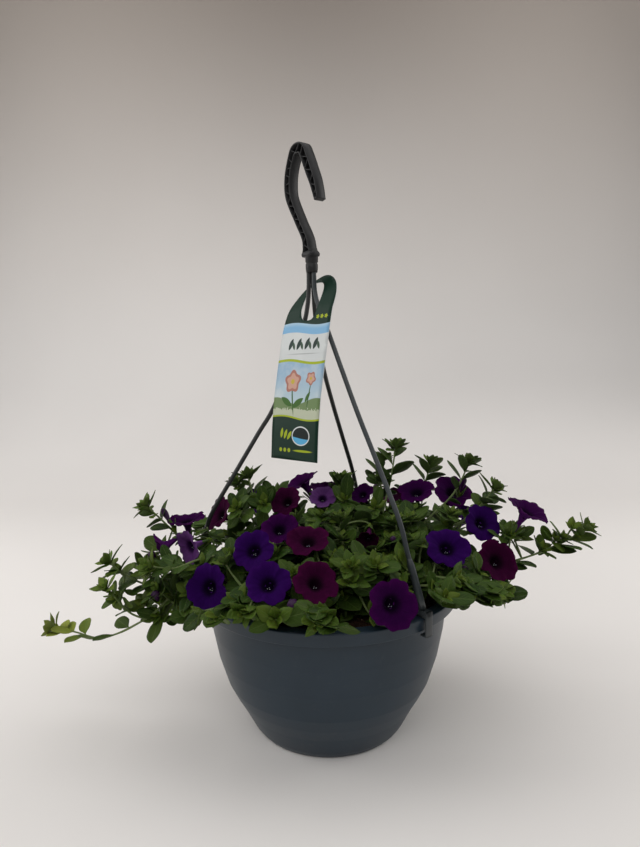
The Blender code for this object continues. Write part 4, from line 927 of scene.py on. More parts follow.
class Limb:
    """The ruffled, creased surface of one bloom's limb."""

    def __init__(self, bloom, rng):
        self.width = bloom["width"]
        self.closed = 1.0 - bloom["open"]
        self.front = self.width * BLOOM_DEPTH * (1.0 + 0.30 * self.closed)
        self.mouth = 0.0050 * self.width / FULL_WIDTH
        self.phases = [rng.uniform(0.0, ROUND) for _ in range(6)]
        self.lobes = [rng.uniform(-1.0, 1.0) for _ in range(5)]

    def at(self, v, phi):
        """Place along the axis and radius, for a share of the way out and an angle."""
        width, p = self.width, self.phases
        x = phi % LOBE
        gap = min(x, LOBE - x)
        which = self.lobes[int(phi / LOBE) % 5]
        mid = LOBE * 0.5 - gap
        edge = width * 0.5 * (1.0 - 0.155 * math.exp(-(gap / 0.20) ** 2) + 0.035 * which)
        edge *= 1.0 - 0.030 * math.exp(-(mid / 0.16) ** 2)
        edge *= (1.0 + 0.030 * math.sin(2 * phi + p[2]) + 0.014 * math.sin(7 * phi + p[3])
                 + 0.008 * math.sin(19 * phi + p[4]))
        x = self.front - width * 0.16 * (1.0 - v) ** 2.0 - self.closed * width * 0.42 * v * (1.0 - v)
        x += width * v * v * (0.034 * math.sin(2 * phi + p[0]) + 0.022 * math.sin(3 * phi + p[1]))
        x += width * v ** 4 * (0.016 * math.sin(13 * phi + p[2]) + 0.004 * math.sin(31 * phi + p[5]))
        x -= width * 0.045 * v ** 3 * (0.6 + 0.4 * which)
        x -= width * 0.016 * math.exp(-(mid / 0.10) ** 2) * 4 * v * (1 - v)
        x += width * 0.022 * math.exp(-(gap / 0.14) ** 2) * v * v
        return x, self.mouth + (edge - self.mouth) * v


def fine_bloom(build, bloom):
    """Trumpet with five soft lobes, a ruffled edge, a creased limb and a deep throat."""
    rng = random.Random(int(bloom["spin"] * 1e5))
    tint = rng.random()
    limb = Limb(bloom, rng)
    width, front, mouth = limb.width, limb.front, limb.mouth
    depth = width * BLOOM_DEPTH
    origin, axis = bloom["base"], bloom["face"]
    side = turned_side(axis, bloom["spin"])
    other = axis.cross(side)
    turns = angles(BLOOM_COLS)
    verts = []
    tones = []
    discs = []

    def ring(points, v, face):
        far = max(v, 0.02)
        for phi, (x, r) in zip(turns, points):
            verts.append(origin + axis * x + (side * math.cos(phi) + other * math.sin(phi)) * r)
            discs.append((0.5 + 0.5 * far * math.cos(phi), 0.5 + 0.5 * far * math.sin(phi)))
            tones.append((tint, v, face))

    # From the bottom of the throat out over the limb, round its edge and back along the tube.
    for x, r in ((depth * 0.52, 0.0002), (depth * 0.54, mouth * 0.42), (front - width * 0.235, mouth * 0.78)):
        ring([(x, r)] * BLOOM_COLS, 0.0, 1.0)
    for v in (0.0, 0.10, 0.20, 0.32, 0.44, 0.56, 0.67, 0.77, 0.86, 0.93, 0.975, 1.0):
        ring([limb.at(v, phi) for phi in turns], v, 1.0)
    for v in (1.0, 0.96, 0.86, 0.72, 0.56, 0.40, 0.26, 0.14):
        back = 0.00028 + 0.0006 * (1.0 - v)
        ring([(x - back, r * 0.998) for x, r in (limb.at(v, phi) for phi in turns)], v, 0.0)
    for x, r in ((front - width * 0.185, mouth + 0.0008), (depth * 0.66, mouth * 0.84), (depth * 0.42, 0.0025),
                 (depth * 0.20, 0.0018), (0.0002, 0.0012)):
        ring([(x, r * (1.0 + 0.05 * math.cos(5 * phi))) for phi in turns], 0.0, 0.0)
    build.add(verts, strip(len(verts) // BLOOM_COLS, BLOOM_COLS), discs, tones)
    # Anthers and stigma low in the throat's mouth.
    down = -UP - axis * (-UP).dot(axis)
    down = down.normalized() if down.length > 0.05 else side
    across = axis.cross(down)
    for a, b, c, r in ((-0.22, 0.40, -0.200, 0.50), (0.22, 0.46, -0.195, 0.50), (0.02, 0.10, -0.215, 0.34)):
        at = origin + axis * (front + width * c) + across * (a * mouth) + down * (b * mouth)
        grain(build, at, axis, across, r * 0.001 * width / FULL_WIDTH)


def grain(build, at, axis, across, r):
    """A small anther, a little longer across than deep."""
    third = axis.cross(across)
    verts = []
    for i in range(5):
        lat = math.pi * (i + 0.5) / 5 - math.pi / 2
        for lon in angles(8):
            verts.append(at + axis * (r * 0.8 * math.sin(lat))
                         + (across * 1.25 * math.cos(lon) + third * 0.8 * math.sin(lon)) * (r * math.cos(lat)))
    build.add(verts, strip(5, 8), None, (0.5, 0.5, 1.0), 1)


def fine_bud(build, base, face, length, fat):
    """A closed bud, twisted and pointed, that stands out of its calyx."""
    side = side_of(face)
    rows = ((0.0, 0.34), (0.12, 0.42), (0.30, 0.50), (0.50, 0.66), (0.66, 0.92), (0.78, 1.0), (0.88, 0.86),
            (0.95, 0.56), (1.0, 0.16))
    cols = 20
    verts = []
    tones = []
    uvs = []
    for t, w in rows:
        radii = [fat * w * (1.0 + 0.10 * math.cos(5 * phi + 5.0 * t) * min(1.0, t * 2)) for phi in angles(cols)]
        verts += circle(base + face * (length * t), side, face.cross(side), radii, cols)
        tones += [(0.5, t, 0.0)] * cols
        uvs += [(0.5 + 0.5 * t * math.cos(phi), 0.5 + 0.5 * t * math.sin(phi)) for phi in angles(cols)]
    build.add(verts, strip(len(rows), cols), uvs, tones, BUD)


# ---------------------------------------------------------------- stems

def fine_tube(build, path, radii, sides, tone, steps):
    """Round stem on a smooth path, a little thicker at its joints."""
    line = spline(path, (len(path) - 1) * steps + 1)
    verts = []
    uvs = []
    run = 0.0
    for i, (p, (side, other)) in enumerate(zip(line, frames_of(line))):
        if i:
            run += (p - line[i - 1]).length
        x = i / (len(line) - 1) * (len(radii) - 1)
        k = min(int(x), len(radii) - 2)
        r = radii[k] + (radii[k + 1] - radii[k]) * (x - k)
        r *= 1.0 + 0.10 * math.sin(run * 260.0 + p.x * 90.0)
        verts += circle(p, side, other, r, sides)
        uvs += [(j / sides, run * 40.0) for j in range(sides)]
    build.add(verts, strip(len(line), sides), uvs, tone, BARK)
    return line


def hairs(build, line, r, rng, count, length):
    """Fine short hairs that stand out from a stem."""
    for _ in range(count):
        p, way = point_on(line, rng.uniform(0.05, 1.0))
        out = turned_side(way, rng.uniform(0, ROUND))
        out = (out + way * rng.uniform(-0.25, 0.35)).normalized()
        side = out.cross(way).normalized()
        root = p + out * (r * 0.6)
        tip = root + out * (length * rng.uniform(0.6, 1.2))
        verts = [root - side * HAIR_R, root + side * HAIR_R, root + way * HAIR_R * 1.6, tip]
        build.add(verts, [(0, 1, 3), (1, 2, 3), (2, 0, 3), (2, 1, 0)], None, (0.5, 0.6, 1.0), HAIR)


def fine_calyx(build, base, face, spin, scale, rng):
    """Cup with five narrow sepals round a bloom's tube."""
    side = turned_side(face, spin)
    other = face.cross(side)
    rows = ((-0.0060, 0.0010), (-0.0048, 0.0012), (-0.0030, 0.0022), (-0.0008, 0.0032), (0.0010, 0.0034),
            (0.0012, 0.0028), (-0.0004, 0.0020))
    cols = 15
    verts = []
    for x, r in rows:
        radii = [r * (1.0 + 0.06 * math.cos(5 * a)) for a in angles(cols)]
        verts += circle(base + face * x, side, other, radii, cols)
    build.add(verts, strip(len(rows), cols), None, (0.5, 0.55, 1.0))
    for phi in angles(5, 0.5):
        phi += rng.uniform(-0.12, 0.12)
        out = side * math.cos(phi) + other * math.sin(phi)
        lean = math.radians(rng.uniform(12, 24))
        leaf = {"base": base + out * 0.0029 - face * 0.0008,
                "ahead": (face * math.cos(lean) + out * math.sin(lean)).normalized(),
                "up": (face * math.sin(lean) - out * math.cos(lean)).normalized(),
                "size": 0.0128 * scale * rng.uniform(0.92, 1.08), "width": 0.0031, "droop": rng.uniform(0.0, 0.12),
                "age": 0.62, "seed": rng.random()}
        fine_leaf(build, leaf, SEPAL_OUTLINE, 1)


# ---------------------------------------------------------------- shader helpers

class Value:
    """One output of a shader node; arithmetic with it adds Math nodes."""

    def __init__(self, paint, socket):
        self.paint = paint
        self.socket = socket

    def maths(self, kind, other=None):
        inputs = {0: self} if other is None else {0: self, 1: other}
        return self.paint.node("Math", inputs, operation=kind)

    def __add__(self, other):
        return self.maths("ADD", other)

    def __sub__(self, other):
        return self.maths("SUBTRACT", other)

    def __mul__(self, other):
        return self.maths("MULTIPLY", other)

    def __truediv__(self, other):
        return self.maths("DIVIDE", other)

    def ranged(self, low, high, to_low=0.0, to_high=1.0):
        """Smooth step from one range to another."""
        inputs = {0: self, 1: low, 2: high, 3: to_low, 4: to_high}
        return self.paint.node("MapRange", inputs, interpolation_type="SMOOTHSTEP")

    def below(self, low, high):
        """1 under the low mark and 0 over the high one."""
        return self.ranged(low, high, 1.0, 0.0)


class Paint:
    """A material in the making; its methods add shader nodes and give their outputs."""

    def __init__(self, name):
        self.mat = bpy.data.materials.new(name)
        self.mat.use_nodes = True
        self.tree = self.mat.node_tree
        self.bsdf = self.tree.nodes["Principled BSDF"]

    def feed(self, socket, value):
        if isinstance(value, Value):
            self.tree.links.new(value.socket, socket)
        elif isinstance(value, tuple) and len(value) < len(socket.default_value):
            socket.default_value = (*value, 1.0)
        else:
            socket.default_value = value

    def node(self, kind, inputs, out=0, **settings):
        made = self.tree.nodes.new("ShaderNode" + kind)
        for key, value in settings.items():
            setattr(made, key, value)
        for key, value in inputs.items():
            self.feed(made.inputs[key], value)
        return Value(self, made.outputs[out])

    def mixed(self, share, a, b):
        """Colour between two, each a value or an RGB tuple."""
        return self.node("Mix", {0: share, 6: a, 7: b}, 2, data_type="RGBA")

    def spots(self):
        """Object coordinates."""
        return self.node("TexCoord", {}, "Object")

    def parts(self, kind, value):
        """The three channels of a colour or the three coordinates of a place."""
        first = self.node(kind, {0: value})
        return [Value(self, out) for out in first.socket.node.outputs]

    def tone(self):
        """The three channels of the Tone attribute."""
        return self.parts("SeparateColor", self.node("VertexColor", {}, "Color", layer_name="Tone"))

    def uv(self):
        return self.parts("SeparateXYZ", self.node("TexCoord", {}, "UV"))[:2]

    def speckle(self, scale, detail=3.0, rough=0.55, place=None):
        inputs = {"Scale": scale, "Detail": detail, "Roughness": rough, "Vector": place or self.spots()}
        return self.node("TexNoise", inputs, "Fac")

    def finished(self, colour, rough, spec, height, strength, distance, scatter=None):
        """Joins colour, roughness, gloss and bump, and gives the material."""
        normal = self.node("Bump", {"Strength": strength, "Distance": distance, "Height": height})
        inputs = {"Base Color": colour, "Roughness": rough, "Specular IOR Level": spec, "Normal": normal}
        if scatter:
            inputs["Subsurface Weight"], inputs["Subsurface Radius"] = scatter
        for key, value in inputs.items():
            self.feed(self.bsdf.inputs[key], value)
        return self.mat


# ---------------------------------------------------------------- materials

def leaf_material():
    paint = Paint("leaf_green")
    tint, young, side = paint.tone()
    u, v = paint.uv()
    across = (u - 0.5).maths("ABSOLUTE")
    # The Tone's second channel holds youth with painted light at the front and the left ends: it moves the colour
    # from old to fresh, and near its top to a pale yellow-green.
    old = paint.mixed(tint, (0.013, 0.034, 0.005), (0.032, 0.066, 0.008))
    fresh = paint.mixed(tint, (0.080, 0.140, 0.014), (0.140, 0.190, 0.020))
    body = paint.mixed(young.ranged(0.0, 0.8).maths("POWER", 0.9), old, fresh)
    body = paint.mixed(young.ranged(0.8, 1.0), body, (0.300, 0.340, 0.050))
    blotch = paint.speckle(60.0).ranged(0.35, 0.75) * 0.35
    body = paint.mixed(blotch, body, (0.060, 0.105, 0.014))
    rib = across.below(0.0, 0.035)
    slant = v * 44.0 - across * 34.0
    vein = slant.maths("SINE").ranged(0.86, 1.0) * across.ranged(0.02, 0.42, 1.0, 0.2)
    lines = (rib * 0.55).maths("MAXIMUM", vein * 0.30)
    body = paint.mixed(lines, body, (0.125, 0.185, 0.050))
    under = paint.mixed(0.5, body, (0.075, 0.115, 0.040))
    rough = paint.speckle(900.0, 2.0).ranged(0.3, 0.8, 0.46, 0.62)
    height = paint.speckle(260.0) * 0.5 - lines
    return paint.finished(paint.mixed(side, under, body), rough, 0.12, height, 0.35, 0.0006,
                          (0.45, (0.0010, 0.0020, 0.0004)))


# Plain materials: two colours, scale of their clouds, roughness, scale and depth of the grain, gloss.
PLAIN = {
    "stem_green": ((0.100, 0.150, 0.040), (0.160, 0.200, 0.075), 300.0, 0.55, 900.0, 0.0002, 0.3),
    "stem_hair": ((0.260, 0.300, 0.170), (0.330, 0.360, 0.230), 300.0, 0.6, 900.0, 0.0001, 0.3),
    "bud_dark": ((0.020, 0.002, 0.030), (0.045, 0.004, 0.060), 240.0, 0.5, 600.0, 0.0003, 0.3),
    "anther_pale": ((0.300, 0.330, 0.280), (0.230, 0.240, 0.330), 900.0, 0.6, 1500.0, 0.0001, 0.3),
    "soil_chip": ((0.300, 0.240, 0.150), (0.420, 0.360, 0.260), 500.0, 0.8, 900.0, 0.0003, 0.3),
    "soil_bark": ((0.090, 0.048, 0.026), (0.050, 0.027, 0.016), 400.0, 0.85, 900.0, 0.0003, 0.2),
    "hook_edge": ((0.016, 0.016, 0.017), (0.024, 0.024, 0.025), 60.0, 0.45, 700.0, 0.0002, 0.25),
    # The hook's channels and ribs are its own plastic drawn darker: painted shade in the channels.
    "hook_channel_painted_shade": ((0.007, 0.007, 0.008), (0.011, 0.011, 0.012), 90.0, 0.55, 700.0, 0.0002, 0.25),
    "hook_rib_painted_shade": ((0.011, 0.011, 0.012), (0.015, 0.015, 0.016), 90.0, 0.5, 700.0, 0.0002, 0.25),
    "rod_dark": ((0.018, 0.019, 0.019), (0.028, 0.030, 0.030), 50.0, 0.40, 800.0, 0.0002, 0.5),
    # The same rod colour drawn lighter and bluer: painted light on the front right rod.
    "rod_painted_light": ((0.026, 0.032, 0.036), (0.038, 0.046, 0.050), 50.0, 0.38, 800.0, 0.0002, 0.5),
    "plate_black": ((0.025, 0.026, 0.028), (0.038, 0.039, 0.041), 50.0, 0.5, 700.0, 0.0003, 0.5),
}
# Petals: colour of the limb, its edge (partly its own lighter colour, partly painted sheen) and its throat, then of
# the back and the back's edge.
PETALS = {
    "violet": ((0.019, 0.0009, 0.060), (0.026, 0.0011, 0.074), (0.005, 0.0006, 0.012),
               (0.070, 0.014, 0.170), (0.045, 0.004, 0.110)),
    "purple": ((0.024, 0.0006, 0.036), (0.042, 0.0009, 0.052), (0.006, 0.0006, 0.010),
               (0.070, 0.010, 0.105), (0.056, 0.004, 0.074)),
    "wine": ((0.027, 0.0006, 0.017), (0.046, 0.0009, 0.027), (0.008, 0.0006, 0.006),
             (0.085, 0.010, 0.070), (0.066, 0.004, 0.040)),
    "lilac": ((0.090, 0.028, 0.130), (0.120, 0.050, 0.165), (0.016, 0.003, 0.028),
              (0.160, 0.062, 0.230), (0.100, 0.024, 0.160)),
}


def petal_material(colour):
    paint = Paint("petal_" + colour)
    base, edge, throat, back, back_edge = PETALS[colour]
    out, side = paint.tone()[1:]
    u, v = paint.uv()
    # Streaks run outward: the noise is looked up on a ring, and only slowly along the radius.
    pair = paint.node("CombineXYZ", {0: u - 0.5, 1: v - 0.5})
    unit = paint.node("VectorMath", {0: pair}, operation="NORMALIZE")
    far = paint.node("VectorMath", {0: unit, 3: 9.0}, operation="SCALE")
    lift = paint.node("CombineXYZ", {2: out * 2.2})
    place = paint.node("VectorMath", {0: far, 1: lift}, operation="ADD")
    streak = paint.speckle(1.3, 3.0, 0.6, place)
    cloud = paint.speckle(70.0)
    # Lighter towards the edge of the limb: partly the petal's own colour, partly painted sheen.
    body = paint.mixed(out.ranged(0.55, 1.02) * 0.75, base, edge)
    body = paint.mixed(streak.ranged(0.45, 0.75) * 0.22, body, throat)
    body = paint.mixed(cloud.ranged(0.40, 0.75) * 0.25, body, edge)
    body = paint.mixed(out.below(0.00, 0.34), body, throat)
    rear = paint.mixed(out.ranged(0.1, 0.9), back, back_edge)
    rear = paint.mixed(streak.ranged(0.45, 0.65) * 0.5, rear, base)
    return paint.finished(paint.mixed(side, rear, body), 0.75, 0.03, streak, 0.4, 0.0007,
                          (0.10, (0.0008, 0.0003, 0.0012)))


def plain_material(name):
    paint = Paint(name)
    colour, second, scale, rough, grain_scale, grain_size, spec = PLAIN[name]
    body = paint.mixed(paint.speckle(scale, 4.0).ranged(0.35, 0.68), colour, second)
    fine = paint.speckle(grain_scale)
    rough = fine.ranged(0.2, 0.8, rough - 0.06, rough + 0.08)
    return paint.finished(body, rough, spec, fine, 0.35, grain_size)


def pot_material():
    paint = Paint("pot_anthracite")
    z = paint.parts("SeparateXYZ", paint.spots())[2]
    cloud = paint.speckle(14.0, 4.0)
    body = paint.mixed(cloud.ranged(0.35, 0.7), (0.016, 0.030, 0.045), (0.020, 0.036, 0.053))
    dust = paint.speckle(120.0, 5.0, 0.7)
    dirt = dust.ranged(0.55, 0.80) * (z.below(0.0, 0.05) * 0.35 + 0.10)
    body = paint.mixed(dirt, body, (0.150, 0.145, 0.135))
    rough = cloud.ranged(0.3, 0.7, 0.34, 0.42) + dirt * 0.4
    return paint.finished(body, rough, 0.32, paint.speckle(1400.0, 2.0), 0.12, 0.0003)


def soil_material():
    paint = Paint("potting_soil")
    crumbs = paint.node("TexVoronoi", {"Scale": 320.0, "Vector": paint.spots()}, "Distance")
    tones = Value(paint, crumbs.socket.node.outputs["Color"])
    cloud = paint.speckle(80.0, 5.0, 0.65)
    body = paint.mixed(cloud.ranged(0.3, 0.7), (0.024, 0.011, 0.007), (0.070, 0.032, 0.018))
    body = paint.mixed(tones.ranged(0.6, 0.9) * 0.3, body, (0.090, 0.060, 0.038))
    return paint.finished(body, 0.92, 0.2, crumbs + cloud * 0.7, 0.9, 0.0022)


def room_material():
    """Matt pale paint with painted shade: a little darker from just above the floor up, more so to the right, and
    fading towards the top to a dim colour that is darkest in the middle.
    """
    paint = Paint("pale_room")
    x, y, z = paint.parts("SeparateXYZ", paint.spots())
    cloud = paint.speckle(1.6, 2.0)
    body = paint.mixed(cloud.ranged(0.3, 0.7), (0.86, 0.835, 0.81), (0.89, 0.865, 0.84))
    # Painted shade: darker from just above the floor up, more so to the right.
    shade = z.ranged(0.02, 0.30) * x.ranged(-0.5, 0.9, 0.05, 0.20)
    body = paint.mixed(shade, body, (0.0, 0.0, 0.0))
    # Painted shade towards the top: a dim colour, darkest in the middle, that the wall fades into as it rises.
    middle = x.maths("ABSOLUTE").ranged(0.0, 1.0)
    painted_dim_top = paint.mixed(middle, (0.300, 0.262, 0.232), (0.500, 0.445, 0.398))
    body = paint.mixed(z.ranged(0.25, 1.75), body, painted_dim_top)
    return paint.finished(body, 0.9, 0.05, paint.speckle(60.0, 2.0), 0.05, 0.0005)


WHITE_PAIR = ((0.60, 0.63, 0.63), (0.66, 0.69, 0.68))
LIME = (0.36, 0.44, 0.012)
HEAD_GREEN = (0.004, 0.026, 0.015)
GRASS = (0.040, 0.105, 0.020)


class Card:
    """Flat marks on the card, in millimetres from the middle of its lower edge."""

    def __init__(self, name):
        self.paint = Paint(name)
        cloud = self.paint.speckle(26.0, 2.0)
        self.body = self.paint.mixed(cloud.ranged(0.3, 0.7), *WHITE_PAIR)

    def measure(self):
        """Width, height, and the height with the soft wave that the bands follow."""
        u, v = self.paint.uv()
        self.h = (u - 0.5) * 100.0
        self.s = v * 200.0
        self.level = self.s + (self.h * 0.085).maths("SINE") * 1.8

    def lay(self, share, colour):
        self.body = self.paint.mixed(share, self.body, colour)

    def own_axes(self, place, turn):
        """Coordinates of a mark from its middle, along its length and across it."""
        x = self.h - place[0]
        y = self.s - place[1]
        c = math.cos(math.radians(turn))
        d = math.sin(math.radians(turn))
        return x * c + y * d, y * c - x * d

    def motif(self, place, half, turn=0.0, petals=0, depth=0.0):
        """Share, 0 to 1, of an ellipse or a blossom."""
        a, b = self.own_axes(place, turn)
        a = a / half[0]
        b = b / half[1]
        r = (a * a + b * b).maths("SQRT")
        if petals:
            wave = (b.maths("ARCTAN2", a) * float(petals)).maths("COSINE")
            r = r / (wave * depth + 1.0)
        soft = 0.25 / min(half)
        return r.below(1.0 - soft, 1.0 + soft)

    def leaf(self, place, length, fat, turn):
        """Share of a pointed leaf: where two discs overlap."""
        a, b = self.own_axes(place, turn)
        big = (length * length + fat * fat) / (2 * fat)
        b = b.maths("ABSOLUTE") + (big - fat)
        return ((a * a + b * b).maths("SQRT") - big).below(-0.2, 0.2)

    def picture(self):
        """Sky, hills and meadow, with one large open blossom and a small one."""
        paint, h, s, level = self.paint, self.h, self.s, self.level
        sky = paint.mixed(s.ranged(46.0, 97.0), (0.50, 0.62, 0.66), (0.28, 0.44, 0.60))
        sky = paint.mixed(paint.speckle(42.0).ranged(0.45, 0.7) * 0.5, sky, (0.66, 0.70, 0.70))
        below = level.below(97.8, 98.2)
        self.lay(below, sky)
        self.lay(below * level.ranged(95.2, 95.6), LIME)
        hill = s + (h * 0.11).maths("COSINE") * 3.2
        self.lay(hill.below(57.6, 58.4), (0.16, 0.24, 0.10))
        meadow = s + paint.speckle(420.0, 2.0) * 9.0
        self.lay(meadow.below(54.0, 54.6), (0.50, 0.54, 0.40))
        self.lay(self.motif((-6.0, 60.0), (0.9, 16.0), 10.0), GRASS)
        for place, length, fat, turn in (((-14.0, 57.0), 9.0, 3.2, 152.0), ((2.0, 56.0), 9.0, 3.2, 32.0),
                                         ((15.0, 62.0), 6.0, 2.0, 60.0)):
            self.lay(self.leaf(place, length, fat, turn), (0.050, 0.135, 0.022))
        self.lay(self.motif((16.5, 64.0), (0.7, 13.0), -6.0), GRASS)
        for place, half, turn in (((-8.0, 77.0), 10.5, 20.0), ((17.0, 80.0), 6.2, 60.0)):
            self.lay(self.motif(place, (half, half), turn, 5, 0.13), (0.40, 0.17, 0.13))
            self.lay(self.motif(place, (half * 0.72, half * 0.72), turn, 5, 0.16), (0.58, 0.34, 0.26))
            self.lay(self.motif(place, (half * 0.24, half * 0.24)), (0.55, 0.42, 0.05))

    def panel(self):
        """Leaf pairs in a row over a thin grey rule on the white panel, and the blue band above."""
        for k in range(4):
            x = -17.5 + 11.5 * k
            self.lay(self.leaf((x, 114.5), 6.4, 2.5, 68.0), (0.020, 0.040, 0.034))
            self.lay(self.leaf((x + 4.2, 112.9), 4.6, 1.7, 112.0), (0.045, 0.085, 0.055))
        self.lay(self.motif((2.0, 104.5), (20.0, 0.5)) * 0.6, (0.25, 0.26, 0.26))
        band = self.level.ranged(124.8, 125.2) * self.level.below(134.6, 135.0)
        self.lay(band, (0.22, 0.45, 0.68))
        self.lay(band * self.level.ranged(130.0, 135.0), (0.40, 0.58, 0.72))

    def foot(self):
        """Dark foot with a wide bowl of water and a row of seedlings."""
        foot = self.level.below(41.8, 42.2)
        self.lay(foot, HEAD_GREEN)
        self.lay(foot * self.level.ranged(40.2, 40.6), LIME)
        inside = (9.0, 24.0), (11.2, 8.2)
        self.lay(self.motif((9.0, 24.0), (12.4, 9.4)), (0.70, 0.74, 0.74))
        self.lay(self.motif(*inside), (0.008, 0.014, 0.014))
        self.lay(self.motif(*inside) * self.level.below(22.6, 23.0), (0.10, 0.42, 0.70))
        for k in range(3):
            self.lay(self.leaf((-18.0 + 5.5 * k, 26.0 - k), 5.2, 1.9, 80.0 - 12 * k), LIME)
            self.lay(self.motif((-19.0 + 6.0 * k, 9.5), (2.0, 2.0)), LIME)
        self.lay(self.motif((12.0, 9.5), (12.5, 1.1)), LIME)


def card_material(name, kind):
    """Printed card: a garden picture in bands for the face, plain with a green head for the back."""
    card = Card(name)
    if kind != "edge":
        card.measure()
        if kind == "face":
            card.picture()
            card.panel()
            card.foot()
        card.lay(card.level.ranged(134.6, 135.0), HEAD_GREEN)
    if kind == "face":
        for k in range(3):
            card.lay(card.motif((15.0 + 5.6 * k, 141.0), (1.9, 1.9), 0.0, 5, 0.2), LIME)
    fine = card.paint.speckle(700.0, 2.0)
    return card.paint.finished(card.body, fine.ranged(0.2, 0.8, 0.40, 0.50), 0.16, fine, 0.08, 0.0002)


# ---------------------------------------------------------------- pot, plate and soil

def rounded(profile, reach, steps=3):
    """The profile with each inner corner replaced by a short curve."""
    out = [profile[0]]
    for a, b, c in zip(profile, profile[1:], profile[2:]):
        ends = []
        for far in (a, c):
            run = math.dist(far, b)
            share = min(reach, run * 0.4) / run
            ends.append([q + (p - q) * share for p, q in zip(far, b)])
        for k in range(steps + 1):
            t = k / steps
            out.append([(1 - t) ** 2 * p + 2 * t * (1 - t) * m + t * t * q for p, m, q in zip(ends[0], b, ends[1])])
    out.append(profile[-1])
    return out


def turned_body(rings, low, high):
    """Points and faces of a body turned round the axis from its lowest to its highest point."""
    cols = len(rings[0])
    verts = [UP * low] + [p for ring in rings for p in ring] + [UP * high]
    faces = []
    for k in range(cols):
        n = (k + 1) % cols
        faces.append((0, 1 + n, 1 + k))
        for a in range(1, 1 + (len(rings) - 1) * cols, cols):
            faces.append((a + k, a + n, a + cols + n, a + cols + k))
        a = 1 + (len(rings) - 1) * cols
        faces.append((a + k, a + n, len(verts) - 1))
    return verts, faces


def make_pot(mat):
    profile = rounded(POT_OUTER + POT_RIM + POT_INNER, 0.0011)
    build = Build()
    build.add(*turned_body([level_ring(r, z, 160) for r, z in profile[1:-1]], profile[0][1], profile[-1][1]))
    pot = build.make("pot_body", [mat])
    cutters = []
    for azimuth in DRAINS:
        ends = [along(azimuth) * r + UP * DRAIN_Z for r in (0.085, 0.112)]
        verts, faces = tube(ends, DRAIN_R, 24)
        data = bpy.data.meshes.new("hole")
        data.from_pydata([tuple(v) for v in verts], [], faces)
        cutters.append(stand("hole", data))
        knife = pot.modifiers.new("hole", "BOOLEAN")
        knife.operation = "DIFFERENCE"
        knife.object = cutters[-1]
        knife.solver = "EXACT"
    graph = bpy.context.evaluated_depsgraph_get()
    graph.update()
    made = bpy.data.meshes.new_from_object(pot.evaluated_get(graph))
    pot.modifiers.clear()
    pot.data = made
    for hole in cutters:
        bpy.data.objects.remove(hole)
    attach(pot, "root")
    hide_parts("pot")


# A crumb of soil: five points round it, then its top and bottom.
CRUMB = ((1, 0, 0), (0.3, 0.9, 0.1), (-0.8, 0.6, -0.1), (-0.9, -0.5, 0.1), (0.2, -1, 0), (0.2, 0.2, 0.8),
         (-0.2, -0.1, -0.8))
SOIL_WALL = ((0.0974, 0.0482), (0.1008, 0.0540), (0.1086, 0.0810), (0.1152, 0.1080), (0.1180, 0.1375))
SOIL_EDGE = 0.1186
# Lumps of the soil's top: scale of the noise and height.
SOIL_LUMPS = ((45.0, 0.0013), (160.0, 0.0010), (420.0, 0.0005))


def soil_ring(r, cols):
    """A ring of the lumpy top, which dips at the pot's wall."""
    ring = level_ring(r, 0.0, cols)
    edge = min((SOIL_EDGE - r) / 0.010, 1.0)
    for at in ring:
        lump = sum(noise.noise(at * scale) * size for scale, size in SOIL_LUMPS)
        at.z = 0.1388 + 0.0032 * edge + lump * (0.3 + 0.7 * edge)
    return ring


def make_soil(mats):
    build = Build()
    rng = random.Random(8)
    rings = [level_ring(r, z, 120) for r, z in SOIL_WALL]
    rings += [soil_ring(SOIL_EDGE - 0.0026 * k, 120) for k in range(45)]
    build.add(*turned_body(rings, 0.0482, 0.1422))
    faces = [face for k in range(5) for face in ((k, (k + 1) % 5, 5), ((k + 1) % 5, k, 6))]
    for i in range(1500):
        a = rng.uniform(0.0, 6.28318)
        r = 0.1165 * math.sqrt(rng.random())
        at = Vector((r * math.cos(a), r * math.sin(a), 0.1428))
        pale = rng.random() < 0.06
        size = rng.uniform(0.0006, 0.0017) * (0.8 if pale else 1.0)
        flat = rng.uniform(0.5, 1.0)
        turn = Matrix.Rotation(rng.uniform(0, ROUND), 3, "Z") @ Matrix.Rotation(rng.uniform(-0.6, 0.6), 3, "X")
        points = [at + turn @ (Vector((x, y * flat, z * flat * 0.8)) * (size * rng.uniform(0.8, 1.2)))
                  for x, y, z in CRUMB]
        build.add(points, faces, mat=1 if pale else 2 if i % 3 == 0 else 0)
    soil = build.make("soil_bed", mats, False)
    soil.data.polygons.foreach_set("use_smooth", [len(p.vertices) == 4 for p in soil.data.polygons])
    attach(soil, "root")
    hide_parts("soil")


# ---------------------------------------------------------------- hanger

HOOK_TURN = -50.0
HOOK_WIDE = 0.0112
HOOK_FLANGE = 0.0016
HOOK_WEB = 0.0018
HOOK_SOFT = 0.00045
RIB_HALF = 0.00042
RIB_IN = 0.0007
